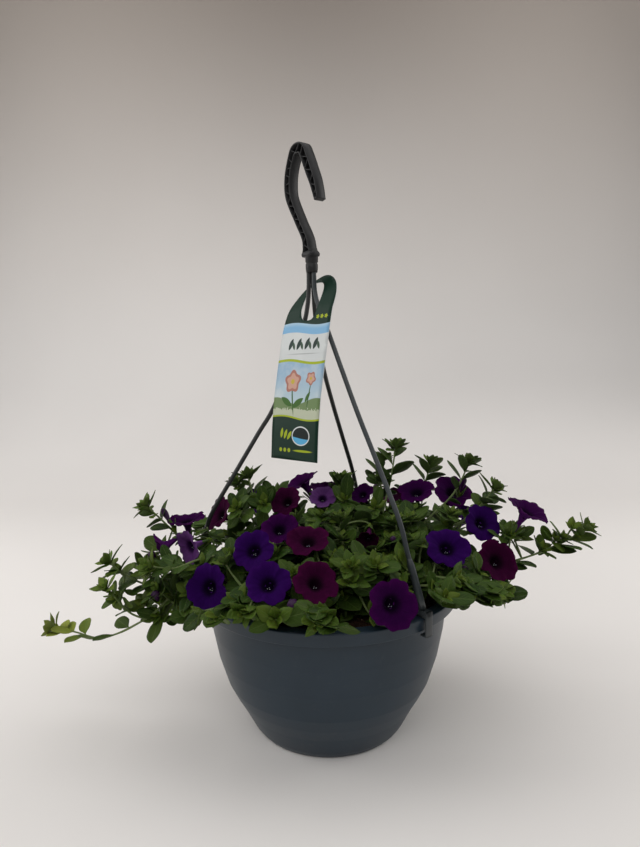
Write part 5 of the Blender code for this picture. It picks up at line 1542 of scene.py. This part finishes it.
# Stations of the hook's middle line: place across and height in its plane, and depth of the section.
HOOK_PATH = (
    (-0.0022, 0.4815, 0.0120), (-0.0028, 0.4860, 0.0092), (-0.0040, 0.4930, 0.0080),
    (-0.0077, 0.5006, 0.0076), (-0.0131, 0.5090, 0.0076), (-0.0184, 0.5179, 0.0078),
    (-0.0235, 0.5264, 0.0082), (-0.0281, 0.5350, 0.0086), (-0.0305, 0.5421, 0.0089),
    (-0.0311, 0.5504, 0.0092), (-0.0301, 0.5599, 0.0090), (-0.0275, 0.5685, 0.0088),
    (-0.0247, 0.5748, 0.0092), (-0.0225, 0.5790, 0.0096), (-0.0211, 0.5807, 0.0100),
    (-0.0190, 0.5820, 0.0104), (-0.0168, 0.5824, 0.0106), (-0.0132, 0.5824, 0.0106),
    (-0.0110, 0.5820, 0.0104), (-0.0089, 0.5807, 0.0100), (-0.0075, 0.5790, 0.0096),
    (-0.0053, 0.5750, 0.0094), (-0.0009, 0.5660, 0.0096), (0.0035, 0.5565, 0.0094),
    (0.0078, 0.5476, 0.0086), (0.0112, 0.5378, 0.0070), (0.0136, 0.5294, 0.0052),
)


def soft_box(build, points, way, soft, mat=0):
    """A box from a rectangle of four points pushed along a vector, its edges rounded."""
    a, b, c, d = points
    x = (b - a).normalized()
    y = (d - a).normalized()
    z = way.normalized()
    hx, hy, hz = (b - a).length / 2, (d - a).length / 2, way.length / 2
    mid = (a + b + c + d) / 4 + way * 0.5
    soft = min(soft, hx * 0.9, hy * 0.9, hz * 0.9)
    cut = soft * 0.8
    verts = []
    for pz, shrink in ((-hz, soft), (-hz + soft * 0.3, soft * 0.3), (-hz + soft, 0.0), (hz - soft, 0.0),
                       (hz - soft * 0.3, soft * 0.3), (hz, soft)):
        ex = hx - shrink
        ey = hy - shrink
        corner = [(ex, ey - cut), (ex - cut * 0.3, ey - cut * 0.3), (ex - cut, ey)]
        for sx, sy in ((1, 1), (-1, 1), (-1, -1), (1, -1)):
            for px, py in corner[::sx * sy]:
                verts.append(mid + x * (px * sx) + y * (py * sy) + z * pz)
    build.add(verts, strip(6, 12), mat=mat)


def hook_section(w, h):
    """Outline of the hook's double channel: half width, and half the depth at this station."""
    web = HOOK_WEB * 0.5
    f = h - HOOK_FLANGE
    e = HOOK_SOFT
    corner = [(w - e, h), (w, h - e), (w, f + e), (w - e, f), (web + e * 1.6, f), (web, f - e * 1.6)]
    right = [(x, -y) for x, y in corner] + [(x, y) for x, y in corner[::-1]]
    left = [(-x, -y) for x, y in right]
    return left[-1:] + right + left[:-1]


def make_hook(build):
    """The hook: an arched bar of double channel section, with slanted ribs in both channels."""
    across = along(HOOK_TURN + 90.0)
    flat = along(HOOK_TURN)
    pts = [Vector((x, 0.0, z)) for x, z, tall in HOOK_PATH]
    line = spline(pts, 121)
    runs = [length_of(pts[:k + 1]) for k in range(len(pts))]
    talls = [(run / runs[-1], row[2]) for run, row in zip(runs, HOOK_PATH)]
    w = HOOK_WIDE * 0.5
    total = len(line) - 1
    verts = []
    places = []
    for i, p in enumerate(line):
        way = (line[min(i + 1, total)] - line[max(i - 1, 0)]).normalized()
        ahead = (flat * way.x + UP * way.z).normalized()
        out = ahead.cross(across).normalized()
        mid = NECK + flat * p.x + UP * p.z
        tall = blend_rows(talls, i / total)
        places.append((mid, out, ahead, tall))
        section = hook_section(w, tall * 0.5)
        verts += [mid + across * n + out * m for n, m in section]
    size = len(section)
    start = len(build.faces)
    build.add(verts, strip(len(line), size))
    # The floor of each channel and its soft corners take the darker channel material: painted shade in the hollows.
    for i in range(total):
        for j in (5, 6, 7, 17, 18, 19):
            build.mats[start + i * size + j] = 1
    # The ribs take a material darker than the edges: painted shade inside the channels.
    count = 22
    for i in range(count):
        at = 0.035 + 0.93 * i / (count - 1)
        mid, out, ahead, tall = places[int(at * total)]
        slant = (0.35 if 0.42 < at < 0.62 else 0.75) * (-1) ** i
        lay = (out + ahead * slant).normalized()
        h = (tall * 0.5 - HOOK_FLANGE * 0.6) * math.sqrt(1 + slant * slant)
        thin = square_to(lay, ahead)
        a, b = [mid + lay * reach - thin * RIB_HALF - across * (w - RIB_IN) for reach in (-h, h)]
        deep = thin * (2 * RIB_HALF)
        soft_box(build, [a, b, b + deep, a + deep], across * (2 * (w - RIB_IN)), 0.0002, 2)
    for k, back, reach in ((0, 0.0002, 0.0014), (total, -0.0002, -0.0022)):
        mid, out, ahead, tall = places[k]
        at = mid - ahead * back
        h = tall * 0.5
        corner = [at + out * (h * m) + across * (w * n) for m, n in ((-1, -1), (1, -1), (1, 1), (-1, 1))]
        soft_box(build, corner, ahead * reach, 0.0006)
    return across, flat


def make_neck(build, across, flat):
    """The squarish collar under the hook and the round neck that holds the rods."""
    verts = []
    for z, grow in ((0.4774, -0.5), (0.4777, 0.0), (0.4793, 0.4), (0.4804, 0.3), (0.4816, -0.2), (0.4822, -0.8)):
        for t in angles(48):
            c = math.cos(t)
            s = math.sin(t)
            fat = (abs(c) ** 3.5 + abs(s) ** 3.5) ** (-1 / 3.5)
            verts.append(NECK + flat * ((8.8 + grow) * 0.001 * c * fat - 0.0015)
                         + across * ((6.4 + grow) * 0.001 * s * fat) + UP * z)
    build.add(verts, strip(6, 48))
    verts = []
    for z, r in ((0.4620, 0.0050), (0.4623, 0.0055), (0.4640, 0.0058), (0.4660, 0.0060), (0.4700, 0.0061),
                 (0.4706, 0.0056), (0.4716, 0.0056), (0.4722, 0.0062), (0.4780, 0.0064), (0.4800, 0.0064)):
        verts += [NECK + p for p in level_ring(r, z, 40)]
    build.add(verts, strip(10, 40))


# A rod's thicker foot: distance from its end and radius.
SLEEVE = ((0.047, ROD_R * 0.98), (0.0455, 0.0026), (0.0425, 0.0031), (0.040, ROD_FOOT_R), (0.030, ROD_FOOT_R),
          (0.020, ROD_FOOT_R), (0.010, ROD_FOOT_R), (0.002, ROD_FOOT_R))


def make_rod(build, azimuth, points, mat):
    """A rod with its thicker foot and the clip that holds the rim."""
    path = rod_path(azimuth, points, 61)
    round_rod(build, path, [ROD_R] * 61, mat)
    length = length_of(path)
    round_rod(build, [point_on(path, 1.0 - back / length)[0] for back, r in SLEEVE], [r for back, r in SLEEVE], mat)
    out = Vector((path[-1].x, path[-1].y, 0.0)).normalized()
    tan = UP.cross(out)

    def block(low_r, high_r, low_t, high_t, low_z, high_z, soft):
        corner = [out * r + tan * t + UP * low_z
                  for r, t in ((low_r, low_t), (high_r, low_t), (high_r, high_t), (low_r, high_t))]
        soft_box(build, corner, UP * (high_z - low_z), soft, mat)

    for low_r, high_r, half, low_z, high_z in FOOT_BOXES:
        block(low_r, high_r, -half, half, low_z, high_z, 0.0008)
    for side in (-1, 1):
        block(0.1192, 0.1372, 0.0034 * side, 0.0040 * side, FOOT_TOP - 0.0006, FOOT_TOP + 0.0002, 0.0002)


def make_hanger(mats):
    build = Build()
    make_neck(build, *make_hook(build))
    # The front right rod takes the lighter rod material: painted light.
    for (azimuth, points), mat in zip(RODS, (3, 3, 4)):
        make_rod(build, azimuth, points, mat)
    hanger = build.make("hanger_frame", mats)
    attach(hanger, "root")
    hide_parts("hanger")


def round_rod(build, path, radii, mat):
    build.add(*tube(path, radii, 18), mat=mat)


# ---------------------------------------------------------------- card

def card_point(h, s, off=0.0):
    """tag_point with the bend smoothed along the card."""
    lag = 0.004
    mid = tag_point(h, s, off)
    if not lag < s < TAG_TALL - lag:
        return mid
    return tag_point(h, s - lag, off) * 0.25 + mid * 0.5 + tag_point(h, s + lag, off) * 0.25


def make_card(mats):
    data = bmesh.new()
    outer = [(-TAG_HALF, 0.0, 0.0)] + [(TAG_HALF, 0.14 * k / 24, 0.0) for k in range(24)]
    outer += spline([(h, s, 0.0) for h, s in TAG_OUTLINE[3:15]], 48)
    outer += [(-TAG_HALF, 0.125 * k / 24, 0.0) for k in range(23, 0, -1)]
    h0, s0, rh, rs = TAG_HOLE
    inner = []
    for a in angles(40, 0.5):
        c = math.cos(a)
        s = math.sin(a)
        fat = (abs(c) ** 3 + abs(s) ** 3) ** (-1 / 3)
        inner.append((h0 + rh * c * fat, s0 + rs * s * fat, 0.0))
    edges = []
    for loop in (outer, inner):
        ring = [data.verts.new(p) for p in loop]
        edges += [data.edges.new(pair) for pair in zip(ring, ring[1:] + ring[:1])]
    bmesh.ops.triangle_fill(data, edges=edges, use_beauty=True)
    bmesh.ops.recalc_face_normals(data, faces=data.faces)
    grown = bmesh.ops.extrude_face_region(data, geom=list(data.faces))
    for item in grown["geom"]:
        if isinstance(item, bmesh.types.BMVert):
            item.co.z = TAG_THICK
    bmesh.ops.recalc_face_normals(data, faces=data.faces)
    # Cuts across and along the card let it bend.
    for way, first, last in (((0, 1, 0), 1, 47), ((1, 0, 0), -7, 8)):
        for k in range(first, last):
            bmesh.ops.bisect_plane(data, geom=[*data.verts, *data.edges, *data.faces],
                                   plane_co=[0.004 * k * x for x in way], plane_no=way)
    layer = data.loops.layers.uv.new("UVMap")
    for face in data.faces:
        thin = abs(face.normal.z) < 0.5
        face.smooth = not thin
        face.material_index = 1 if thin else 0 if face.calc_center_median().z < TAG_THICK / 2 else 2
        for loop in face.loops:
            loop[layer].uv = (loop.vert.co.x * 10 + 0.5, loop.vert.co.y * 5)
    for vert in data.verts:
        vert.co = card_point(*vert.co)
    bmesh.ops.recalc_face_normals(data, faces=data.faces)
    if data.calc_volume(signed=True) < 0:
        bmesh.ops.reverse_faces(data, faces=data.faces)
    mesh = bpy.data.meshes.new("card")
    data.to_mesh(mesh)
    data.free()
    for mat in mats:
        mesh.materials.append(mat)
    card = stand("tag_card", mesh)
    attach(card, "root")
    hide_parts("tag")


# ---------------------------------------------------------------- plants

FIXED = ("card", "rod", "foot", "bloom")
HARD = FIXED + ("rim", "top", "view")
EYE = Vector((-0.0058, -0.6437, 0.3899))
# Leaves hang under this height at the rim, and under the lower one left of the pot.
RIM_LINE = 0.134
SIDE_LINE = 0.100
PAST_POT = -0.15


def keep_in_sight(crowd, blooms):
    """Fills the air in front of rods, one foot, the open blooms and the bare soil, so no new leaf hides them."""
    # The bare patch of soil at the front.
    spots = [(Vector((0.022, -0.100, 0.158)), Vector((0, -0.6, 0.8)), 0.013)]
    for azimuth, points in RODS:
        path = rod_path(azimuth, points, 31)
        end = path[-1]
        if end.x > 0 and end.y < 0:
            spots.append((Vector((end.x, end.y, 0.150)) * 1.02, Vector((0, -1, 0)), 0.011))
        if end.y > 0.05:
            continue
        line = [p for p in path if p.z < 0.30]
        line = line[:-4] if end.x < 0 else line
        for side in (-0.0026, 0.0026):
            verts = []
            for p in line:
                way = (EYE - p).normalized()
                verts += [p + way * reach + Vector((side, 0, 0)) for reach in (0.004, 0.075)]
            faces = [(k, k + 1, k + 3, k + 2) for k in range(0, 2 * len(line) - 2, 2)]
            crowd.add((verts, faces), "air", "view")
    for bloom in blooms:
        mid = bloom["base"] + bloom["face"] * bloom["width"] * BLOOM_DEPTH
        if bloom["face"].dot((EYE - mid).normalized()) > 0.45:
            spots.append((mid, bloom["face"], bloom["width"] * 0.42))
    for mid, face, r in spots:
        way = (EYE - mid).normalized()
        side = side_of(face)
        ring = circle(mid, side, face.cross(side), r, 12)
        verts = [p + way * step for step in (0.006, 0.020, 0.040, 0.065) for p in ring]
        faces = strip(4, 12) + [tuple(range(12, 24)), tuple(range(24, 36))]
        crowd.add((verts, faces), "air", "view")


def floor_at(p):
    """Height below which a leaf would hang in front of the pot; the nearer it is, the higher the limit."""
    if math.hypot(p.x, p.y) < 0.10:
        return 0.0
    if p.x < PAST_POT:
        return SIDE_LINE
    near, slope = (0.093, 0.46) if p.x < -0.06 else (0.086, 0.47) if p.x < 0.085 else (0.113, 0.43)
    return max(RIM_LINE, near - slope * p.y)


def too_low(mesh):
    return any(p.z < floor_at(p) for p in mesh[0])


def sag(points):
    """How far the points should rise to stand well over the floor."""
    return max(floor_at(p) + 0.012 - p.z if p.x > PAST_POT else 0.0 for p in points)


def raised(line, lift):
    return [p + UP * r for p, r in zip(line, lift)]


def lift_ends(stem, crowd):
    """Lifts the ends of stems and shoots that sag below the rim's line, with the leaves on them."""
    main = stem["path"]
    last = len(main) - 1
    rise = min(max(sag(main[int(last * 0.4) + 1:]), 0.0), MOST_LIFT)
    rises = [(p.copy(), rise * (k / last) ** 2) for k, p in enumerate(main)]
    tracks = [(main, [r for p, r in rises])]

    def rise_at(spot):
        return min(rises, key=lambda item: (item[0] - spot).length)[1]

    for shoot in stem["shoots"]:
        line = shoot["path"]
        first = rise_at(line[0])
        more = min(max(sag(line[1:]) - first, 0.0), MOST_LIFT)
        lift = [first + more * k / (len(line) - 1) for k in range(len(line))]
        rises += [(p.copy(), r) for p, r in zip(line, lift)]
        tracks.append((line, lift))
    if max(r for p, r in rises) < 0.001:
        return
    for line, lift in tracks:
        before, after = tube(line, 0.0012, 4), tube(raised(line, lift), 0.0012, 4)
        if crowd.clear(before, kinds=FIXED) and not crowd.clear(after, kinds=FIXED):
            return
    for line, lift in tracks:
        line[:] = raised(line, lift)
    for leaf in stem["leaves"]:
        leaf["base"] = leaf["base"] + UP * rise_at(leaf["base"])
    for path in stem["stalks"]:
        rise = rise_at(path[0])
        path[:] = [p + UP * (rise * (1.0 - k / (len(path) - 1)) ** 2) for k, p in enumerate(path)]


def settle_leaf(leaf, crowd):
    """Turns a leaf's face up, and lifts or shrinks it where it hangs or hides something."""
    mesh = leaf_mesh(leaf)
    low = too_low(mesh)
    wrong = low or not crowd.clear(mesh, kinds=("view",))
    if leaf["ahead"].z > -0.30 and leaf["up"].z > 0.30 and not wrong:
        return
    out = Vector((leaf["base"].x, leaf["base"].y, 0.0)).normalized()
    flat = Vector((leaf["ahead"].x, leaf["ahead"].y, 0.0))
    flat = (out if flat.length < 0.25 else flat).normalized()
    up = out * 0.3 + Vector((0.0, -0.35, 0.9))
    for turn in (0.0, 0.6, -0.6, 1.2, -1.2, 1.8, -1.8)[:7 if wrong else 3]:
        for rise in (0.45, 0.8, 0.15) if low else (0.10, 0.4, -0.15):
            ahead = (Matrix.Rotation(turn, 3, "Z") @ flat + UP * rise).normalized()
            test = dict(leaf, ahead=ahead, up=square_to(ahead, up), droop=min(leaf["droop"], 0.12))
            mesh = leaf_mesh(test)
            if crowd.clear(mesh, kinds=FIXED + ("rim", "view")) and not too_low(mesh):
                leaf.update(test)
                return
    if wrong:
        leaf["size"] *= 0.6
        leaf["width"] *= 0.7


def settle_stalk(path, crowd):
    """The stalk, bent back if it would cross an open bloom in view."""
    best = None
    for bend in (0.0, 0.010, 0.018, 0.026, 0.034):
        for aim in ((0, 1, 0), (1, 0, 0), (-1, 0, 0), (0.7, 0.7, 0), (-0.7, 0.7, 0)):
            push = Vector(aim) * bend
            test = [p + push * math.sin(math.pi * k / (len(path) - 1)) for k, p in enumerate(path)]
            if bend and not crowd.clear(tube(test[1:-1], STALK_R, 4), kinds=("bloom", "rod", "card")):
                continue
            parts = [tube([a, b], STALK_R, 4) for a, b in zip(test, test[1:])]
            hidden = sum(not crowd.clear(part, kinds=("view",)) for part in parts)
            if best is None or hidden < best[0]:
                best = (hidden, test)
    return best[1]


def settle(stems, crowd):
    """Tidies the plan: raises what sags, turns leaves face up, and keeps stalks off the open blooms."""
    for stem in stems:
        lift_ends(stem, crowd)
        for leaf in stem["leaves"]:
            settle_leaf(leaf, crowd)
        stem["stalks"] = [settle_stalk(path, crowd) for path in stem["stalks"]]


def rosette(stem, path, size, count, crowd, rng):
    """Young narrow leaves that spread from a shoot's end, the inmost the smallest."""
    tip = path[-1]
    way = (tip - path[-2]).normalized()
    turn = rng.uniform(0.0, ROUND)
    for i in range(count):
        share = (i + 1) / count
        turn += 2.4
        out = turned_side(way, turn)
        lean = math.radians(15.0 + 63.0 * share + rng.uniform(-7, 7))
        ahead = (way * math.cos(lean) + out * math.sin(lean) + UP * 0.10).normalized()
        length = size * (0.34 + 0.66 * share) * rng.uniform(0.85, 1.1)
        leaf = {"base": tip + out * 0.0003 - way * 0.0022 * share, "ahead": ahead, "up": square_to(ahead, way),
                "size": length, "width": length * rng.uniform(0.50, 0.64), "droop": rng.uniform(-0.04, 0.14),
                "small": True, "age": 0.22 + 0.45 * share, "seed": rng.random()}
        mesh = leaf_mesh(leaf)
        if crowd.clear(mesh, kinds=HARD) and not too_low(mesh):
            stem["extra"].append(leaf)


def spray(stems, spot, normal, size, leaves, crowd, rng, reach=0.070):
    """A side branch from the nearest stem to a spot, with broad leaves below a young rosette."""
    tenths = [k / 10 for k in range(2, 10)]
    found = near_stems(stems, spot, tenths, 0.0, reach, lambda gap, stem: gap.length)
    for gap, name, share, stem, start in found[:5]:
        path = spline([start, start.lerp(spot, 0.5) - normal * 0.003, spot - normal * 0.006, spot], 5)
        if gap > 0.004 and not crowd.clear(tube(path[1:], 0.0010, 4), kinds=HARD):
            continue
        before = len(stem["extra"])
        turn = rng.uniform(0.0, ROUND)
        run = length_of(path)
        skip = ((name, "stem"), (name, "shoot"))
        for i in range(leaves + (4 if run > 0.030 else 0) + (2 if run > 0.050 else 0)):
            at = 1.0 - (0.0020 + 0.0038 * (i // 2)) / max(run, 0.02)
            if i >= leaves:
                at = (0.74, 0.74, 0.52, 0.52, 0.32, 0.32)[i - leaves]
            base, way = point_on(path, at)
            turn += math.pi if i % 2 else 1.3
            for trial in range(9):
                out = turned_side(way, turn + rng.uniform(-0.4, 0.4) * trial)
                tilt = math.radians(rng.uniform(14, 52))
                ahead = (out * math.cos(tilt) + way * math.sin(tilt)).normalized()
                length = size * rng.uniform(0.82, 1.12) * (1.0 - 0.05 * trial)
                leaf = {"base": base + out * 0.0006, "ahead": ahead,
                        "up": square_to(ahead, (way + normal * 0.6).normalized()), "size": length,
                        "width": length * rng.uniform(0.48, 0.62), "droop": rng.uniform(0.00, 0.16),
                        "small": False, "age": rng.uniform(0.72, 1.0), "seed": rng.random()}
                mesh = leaf_mesh(leaf)
                if not too_low(mesh) and crowd.clear(mesh, skip=skip):
                    stem["extra"].append(leaf)
                    crowd.add(mesh, name, "leaf")
                    break
        rosette(stem, path, size * 0.74, 8, crowd, rng)
        kept = [p for p in path if p.z >= floor_at(p)]
        if len(stem["extra"]) > before and len(kept) > 1:
            stem["twigs"].append(kept)
        return


# Sprays that stand out at the front and the sides, in millimetres: spot, azimuth and elevation,
# leaf length, number of leaves.
SPRAYS = (
    ((-5, -144, 168), -95, 40, 36, 5), ((-44, -142, 168), -105, 35, 42, 4),
    ((-77, -120, 174), -125, 35, 26, 4), ((71, -88, 190), -60, 60, 28, 5), ((19, -108, 186), -80, 60, 26, 5),
    ((34, -86, 196), -70, 70, 28, 5), ((-8, -30, 224), -90, 70, 26, 5), ((-64, 0, 230), -120, 60, 24, 5),
    ((-93, 0, 226), -140, 60, 24, 5), ((-96, -108, 166), -130, 20, 36, 4), ((-112, -100, 158), -135, 5, 34, 4),
    ((119, -100, 166), -50, 30, 34, 5), ((92, -110, 176), -60, 35, 32, 5), ((-150, -48, 150), -150, 10, 34, 5),
    ((-163, -55, 160), -150, 40, 24, 4), ((-204, -50, 152), -160, 60, 20, 4),
    ((-207, -30, 172), -170, 60, 20, 5), ((-178, -34, 172), -150, 50, 28, 5),
    ((-150, -50, 182), -140, 45, 28, 5), ((-120, -60, 186), -130, 50, 28, 5),
    ((110, -40, 196), -60, 70, 28, 5), ((140, -70, 180), -45, 40, 28, 5), ((60, -50, 205), -80, 70, 26, 5),
    ((-30, -98, 190), -100, 60, 24, 5), ((-90, -60, 196), -120, 60, 26, 5), ((84, -10, 214), -80, 70, 26, 5),
    ((50, 10, 222), -90, 75, 26, 5), ((20, 20, 228), -90, 75, 26, 5), ((-124, 0, 206), -150, 60, 26, 5),
    ((130, 10, 214), -50, 70, 26, 5), ((220, -6, 180), -30, 60, 24, 4), ((245, 0, 190), -20, 60, 22, 4),
    ((-180, -40, 140), -130, 50, 26, 4), ((-165, -46, 132), -120, 40, 28, 4),
    ((-138, -58, 140), -120, 40, 30, 4), ((-122, -75, 146), -120, 40, 30, 4),
    ((-130, -70, 164), -120, 50, 28, 4), ((-145, -36, 172), -130, 60, 26, 4),
    ((-170, -10, 186), -140, 60, 24, 4), ((-186, 0, 166), -150, 60, 24, 4), ((180, -20, 202), -60, 60, 24, 4),
    ((196, -6, 194), -50, 60, 22, 4), ((165, -12, 208), -70, 70, 24, 4), ((254, 0, 200), -60, 50, 21, 4),
    ((236, 0, 188), -60, 60, 22, 4), ((190, 4, 200), -60, 70, 24, 4), ((168, 30, 214), -70, 70, 24, 4),
    ((100, 50, 236), -80, 75, 22, 4), ((60, 60, 240), -90, 75, 22, 4), ((20, 60, 238), -90, 75, 22, 4),
    ((-20, 50, 234), -100, 75, 22, 4), ((-60, 40, 228), -110, 70, 22, 4), ((-100, 30, 216), -130, 65, 22, 4),
)
FILL_SPRAYS = 190


def thicken(stems, crowd):
    """Adds young rosettes at every end, the named sprays, and sprays spread through the bunch."""
    rng = random.Random(61)
    for stem in stems:
        rosette(stem, stem["path"], 0.022, 9, crowd, rng)
        for shoot in stem["shoots"]:
            rosette(stem, shoot["path"], 0.020, 8, crowd, rng)
    for spot, azimuth, elevation, size, leaves in SPRAYS:
        spray(stems, metres(spot), along(azimuth, elevation), size / 1000, leaves, crowd, rng, 0.110)
    for out in dome_spots(FILL_SPRAYS, 1.15, 1.0):
        spot = CANOPY_MID + out * CANOPY_HALF * rng.uniform(0.50, 0.97)
        # The air under the long right stem stays open.
        if spot.x > 0.135 and spot.y < 0.03 and spot.z < 0.185:
            continue
        spray(stems, spot, dome_normal(out, 0.7), rng.uniform(0.024, 0.033), 4, crowd, rng)


# Closed buds, in millimetres: place of the base, azimuth and elevation, length and radius.
BUDS = (
    ((-163, -55, 150), -100, 60, 13, 4.2), ((-158, -2, 206), 150, 52, 24, 3.2),
    ((-29, -132, 168), -100, 62, 17, 4.6), ((62, -52, 196), -80, 80, 15, 2.8),
    ((-168, -30, 178), -170, 60, 15, 3.6), ((126, -60, 172), -70, 60, 14, 3.4),
    ((150, 56, 226), -60, 70, 20, 3), ((60, 118, 206), 80, 60, 18, 3.2),
)


def add_buds(stems):
    for spot, azimuth, elevation, length, fat in BUDS:
        base = metres(spot)
        face = along(azimuth, elevation)
        tenths = [k / 10 for k in range(3, 10)]
        gap, name, share, stem, start = near_stems(stems, base, tenths, 0.0, 1.0, lambda gap, stem: gap.length)[0]
        end = base - face * 0.005
        stem["twigs"].append(spline([start, start.lerp(end, 0.5) - face * gap * 0.2, end - face * 0.003, end], 5))
        stem["buds"].append((base, face, length / 1000, fat / 1000))


def make_foliage(stem, mats):
    build = Build()
    rng = random.Random(stem["name"])
    tint = rng.random()

    def grow(paths, radii, sides, young, steps, r, count, length):
        for path in paths:
            line = fine_tube(build, path, radii, sides, (tint, young, 1.0), steps)
            hairs(build, line, r, rng, count, length)

    # Sides of the tube, youth of its colour, steps between points, then radius, number and length of hairs.
    grow([stem["path"]], stem["radii"], 9, 0.30, 4, STEM_R, 60, 0.0012)
    for shoot in stem["shoots"]:
        grow([shoot["path"]], shoot["radii"], 7, 0.30, 4, 0.001, 12, 0.0009)
    grow(stem["stalks"], STALK_RADII, 7, 0.5, 4, 0.0008, 26, 0.0011)
    for calyx in stem["calyces"]:
        fine_calyx(build, *calyx, rng)
    grow(stem["twigs"], TWIG_RADII, 7, 0.5, 3, 0.0009, 14, 0.0009)
    for leaf in stem["leaves"]:
        fine_leaf(build, leaf, LEAF_OUTLINE, 2 if leaf["small"] else 3)
    for leaf in stem["extra"]:
        fine_leaf(build, leaf, *((YOUNG_OUTLINE, 1) if leaf["small"] else (LEAF_OUTLINE, 3)))
    for base, face, length, fat in stem["buds"]:
        fine_bud(build, base, face, length, fat)
        fine_calyx(build, base, face, rng.uniform(0, 6), 0.8, rng)
    piece = build.make(stem["name"] + "_foliage", mats)
    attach(piece, "root")
    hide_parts(stem["name"])


def make_flower(bloom, mats):
    build = Build()
    fine_bloom(build, bloom)
    piece = build.make(bloom["name"] + "_flower", mats)
    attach(piece, "root")
    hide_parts(bloom["name"])
    "petals_" + bloom["colour"]


# ---------------------------------------------------------------- room, light and camera

def make_room():
    """A floor that curves up into the wall behind."""
    profile = [(-3.0, 0.0), (0.9, 0.0)]
    for k in range(1, 17):
        a = math.pi / 2 * k / 16
        profile.append((0.9 + 0.7 * math.sin(a), 0.7 - 0.7 * math.cos(a)))
    profile.append((1.6, 4.0))
    verts = [(x, y, z) for y, z in profile for x in (-4.0, 4.0)]
    faces = [(k, k + 1, k + 3, k + 2) for k in range(0, len(verts) - 2, 2)]
    data = bpy.data.meshes.new("room")
    data.from_pydata(verts, [], faces)
    data.polygons.foreach_set("use_smooth", [True] * len(faces))
    room = stand("room", data)
    data.materials.append(room_material())


def lamp(name, place, aim, size, power, colour):
    data = bpy.data.lights.new(name, "AREA")
    data.shape = "RECTANGLE"
    data.size, data.size_y = size
    data.energy = power
    data.color = colour
    made = stand(name, data)
    made.location = place
    made.rotation_euler = (Vector(aim) - Vector(place)).to_track_quat("-Z", "Y").to_euler()


def make_camera():
    data = bpy.data.cameras.new("camera")
    data.lens = 27.2
    data.sensor_width = 36.0
    cam = stand("camera", data)
    tilt = Matrix.Rotation(math.radians(90.0 - 6.87), 4, "X")
    roll = Matrix.Rotation(math.radians(-0.7), 4, "Z")
    cam.matrix_world = Matrix.Translation(EYE) @ tilt @ roll
    bpy.context.scene.camera = cam


def make_all():
    make_pot(pot_material())
    shown = frame["nodes"]["reservoir_plate"]
    shown.data.materials.clear()
    shown.data.materials.append(plain_material("plate_black"))
    make_soil([soil_material(), plain_material("soil_chip"), plain_material("soil_bark")])
    frame_parts = ("hook_edge", "hook_channel_painted_shade", "hook_rib_painted_shade", "rod_dark", "rod_painted_light")
    make_hanger([plain_material(name) for name in frame_parts])
    make_card([card_material("card_print", "face"), card_material("card_edge", "edge"),
               card_material("card_back", "back")])
    stems, blooms, crowd = plan_plant()
    keep_in_sight(crowd, blooms)
    settle(stems, crowd)
    thicken(stems, crowd)
    add_buds(stems)
    foliage = [leaf_material()] + [plain_material(name) for name in ("stem_green", "stem_hair", "bud_dark")]
    for stem in stems:
        make_foliage(stem, foliage)
    petals = {colour: petal_material(colour) for colour in PETALS}
    anther = plain_material("anther_pale")
    for bloom in blooms:
        make_flower(bloom, [petals[bloom["colour"]], anther])


make_all()
make_room()
lamp("side_left", (-1.5, 0.2, 0.9), (0.0, 0.0, 0.25), (1.0, 1.4), 11.0, (1.0, 0.98, 0.96))
lamp("side_right", (1.5, 0.3, 0.9), (0.0, 0.0, 0.25), (1.0, 1.4), 9.5, (1.0, 0.98, 0.96))
lamp("above", (0.0, 0.3, 2.0), (0.0, 0.3, 0.0), (2.4, 1.6), 13.5, (1.0, 0.98, 0.97))
lamp("front", (-0.3, -1.4, 1.5), (0.0, -0.1, 0.0), (2.4, 1.0), 13.5, (1.0, 0.98, 0.97))
world = bpy.data.worlds.new("world")
world.use_nodes = True
world.node_tree.nodes["Background"].inputs[0].default_value = (0.95, 0.97, 1.0, 1.0)
world.node_tree.nodes["Background"].inputs[1].default_value = 0.15
bpy.context.scene.world = world
bpy.context.scene.view_settings.view_transform = "Standard"
make_camera()
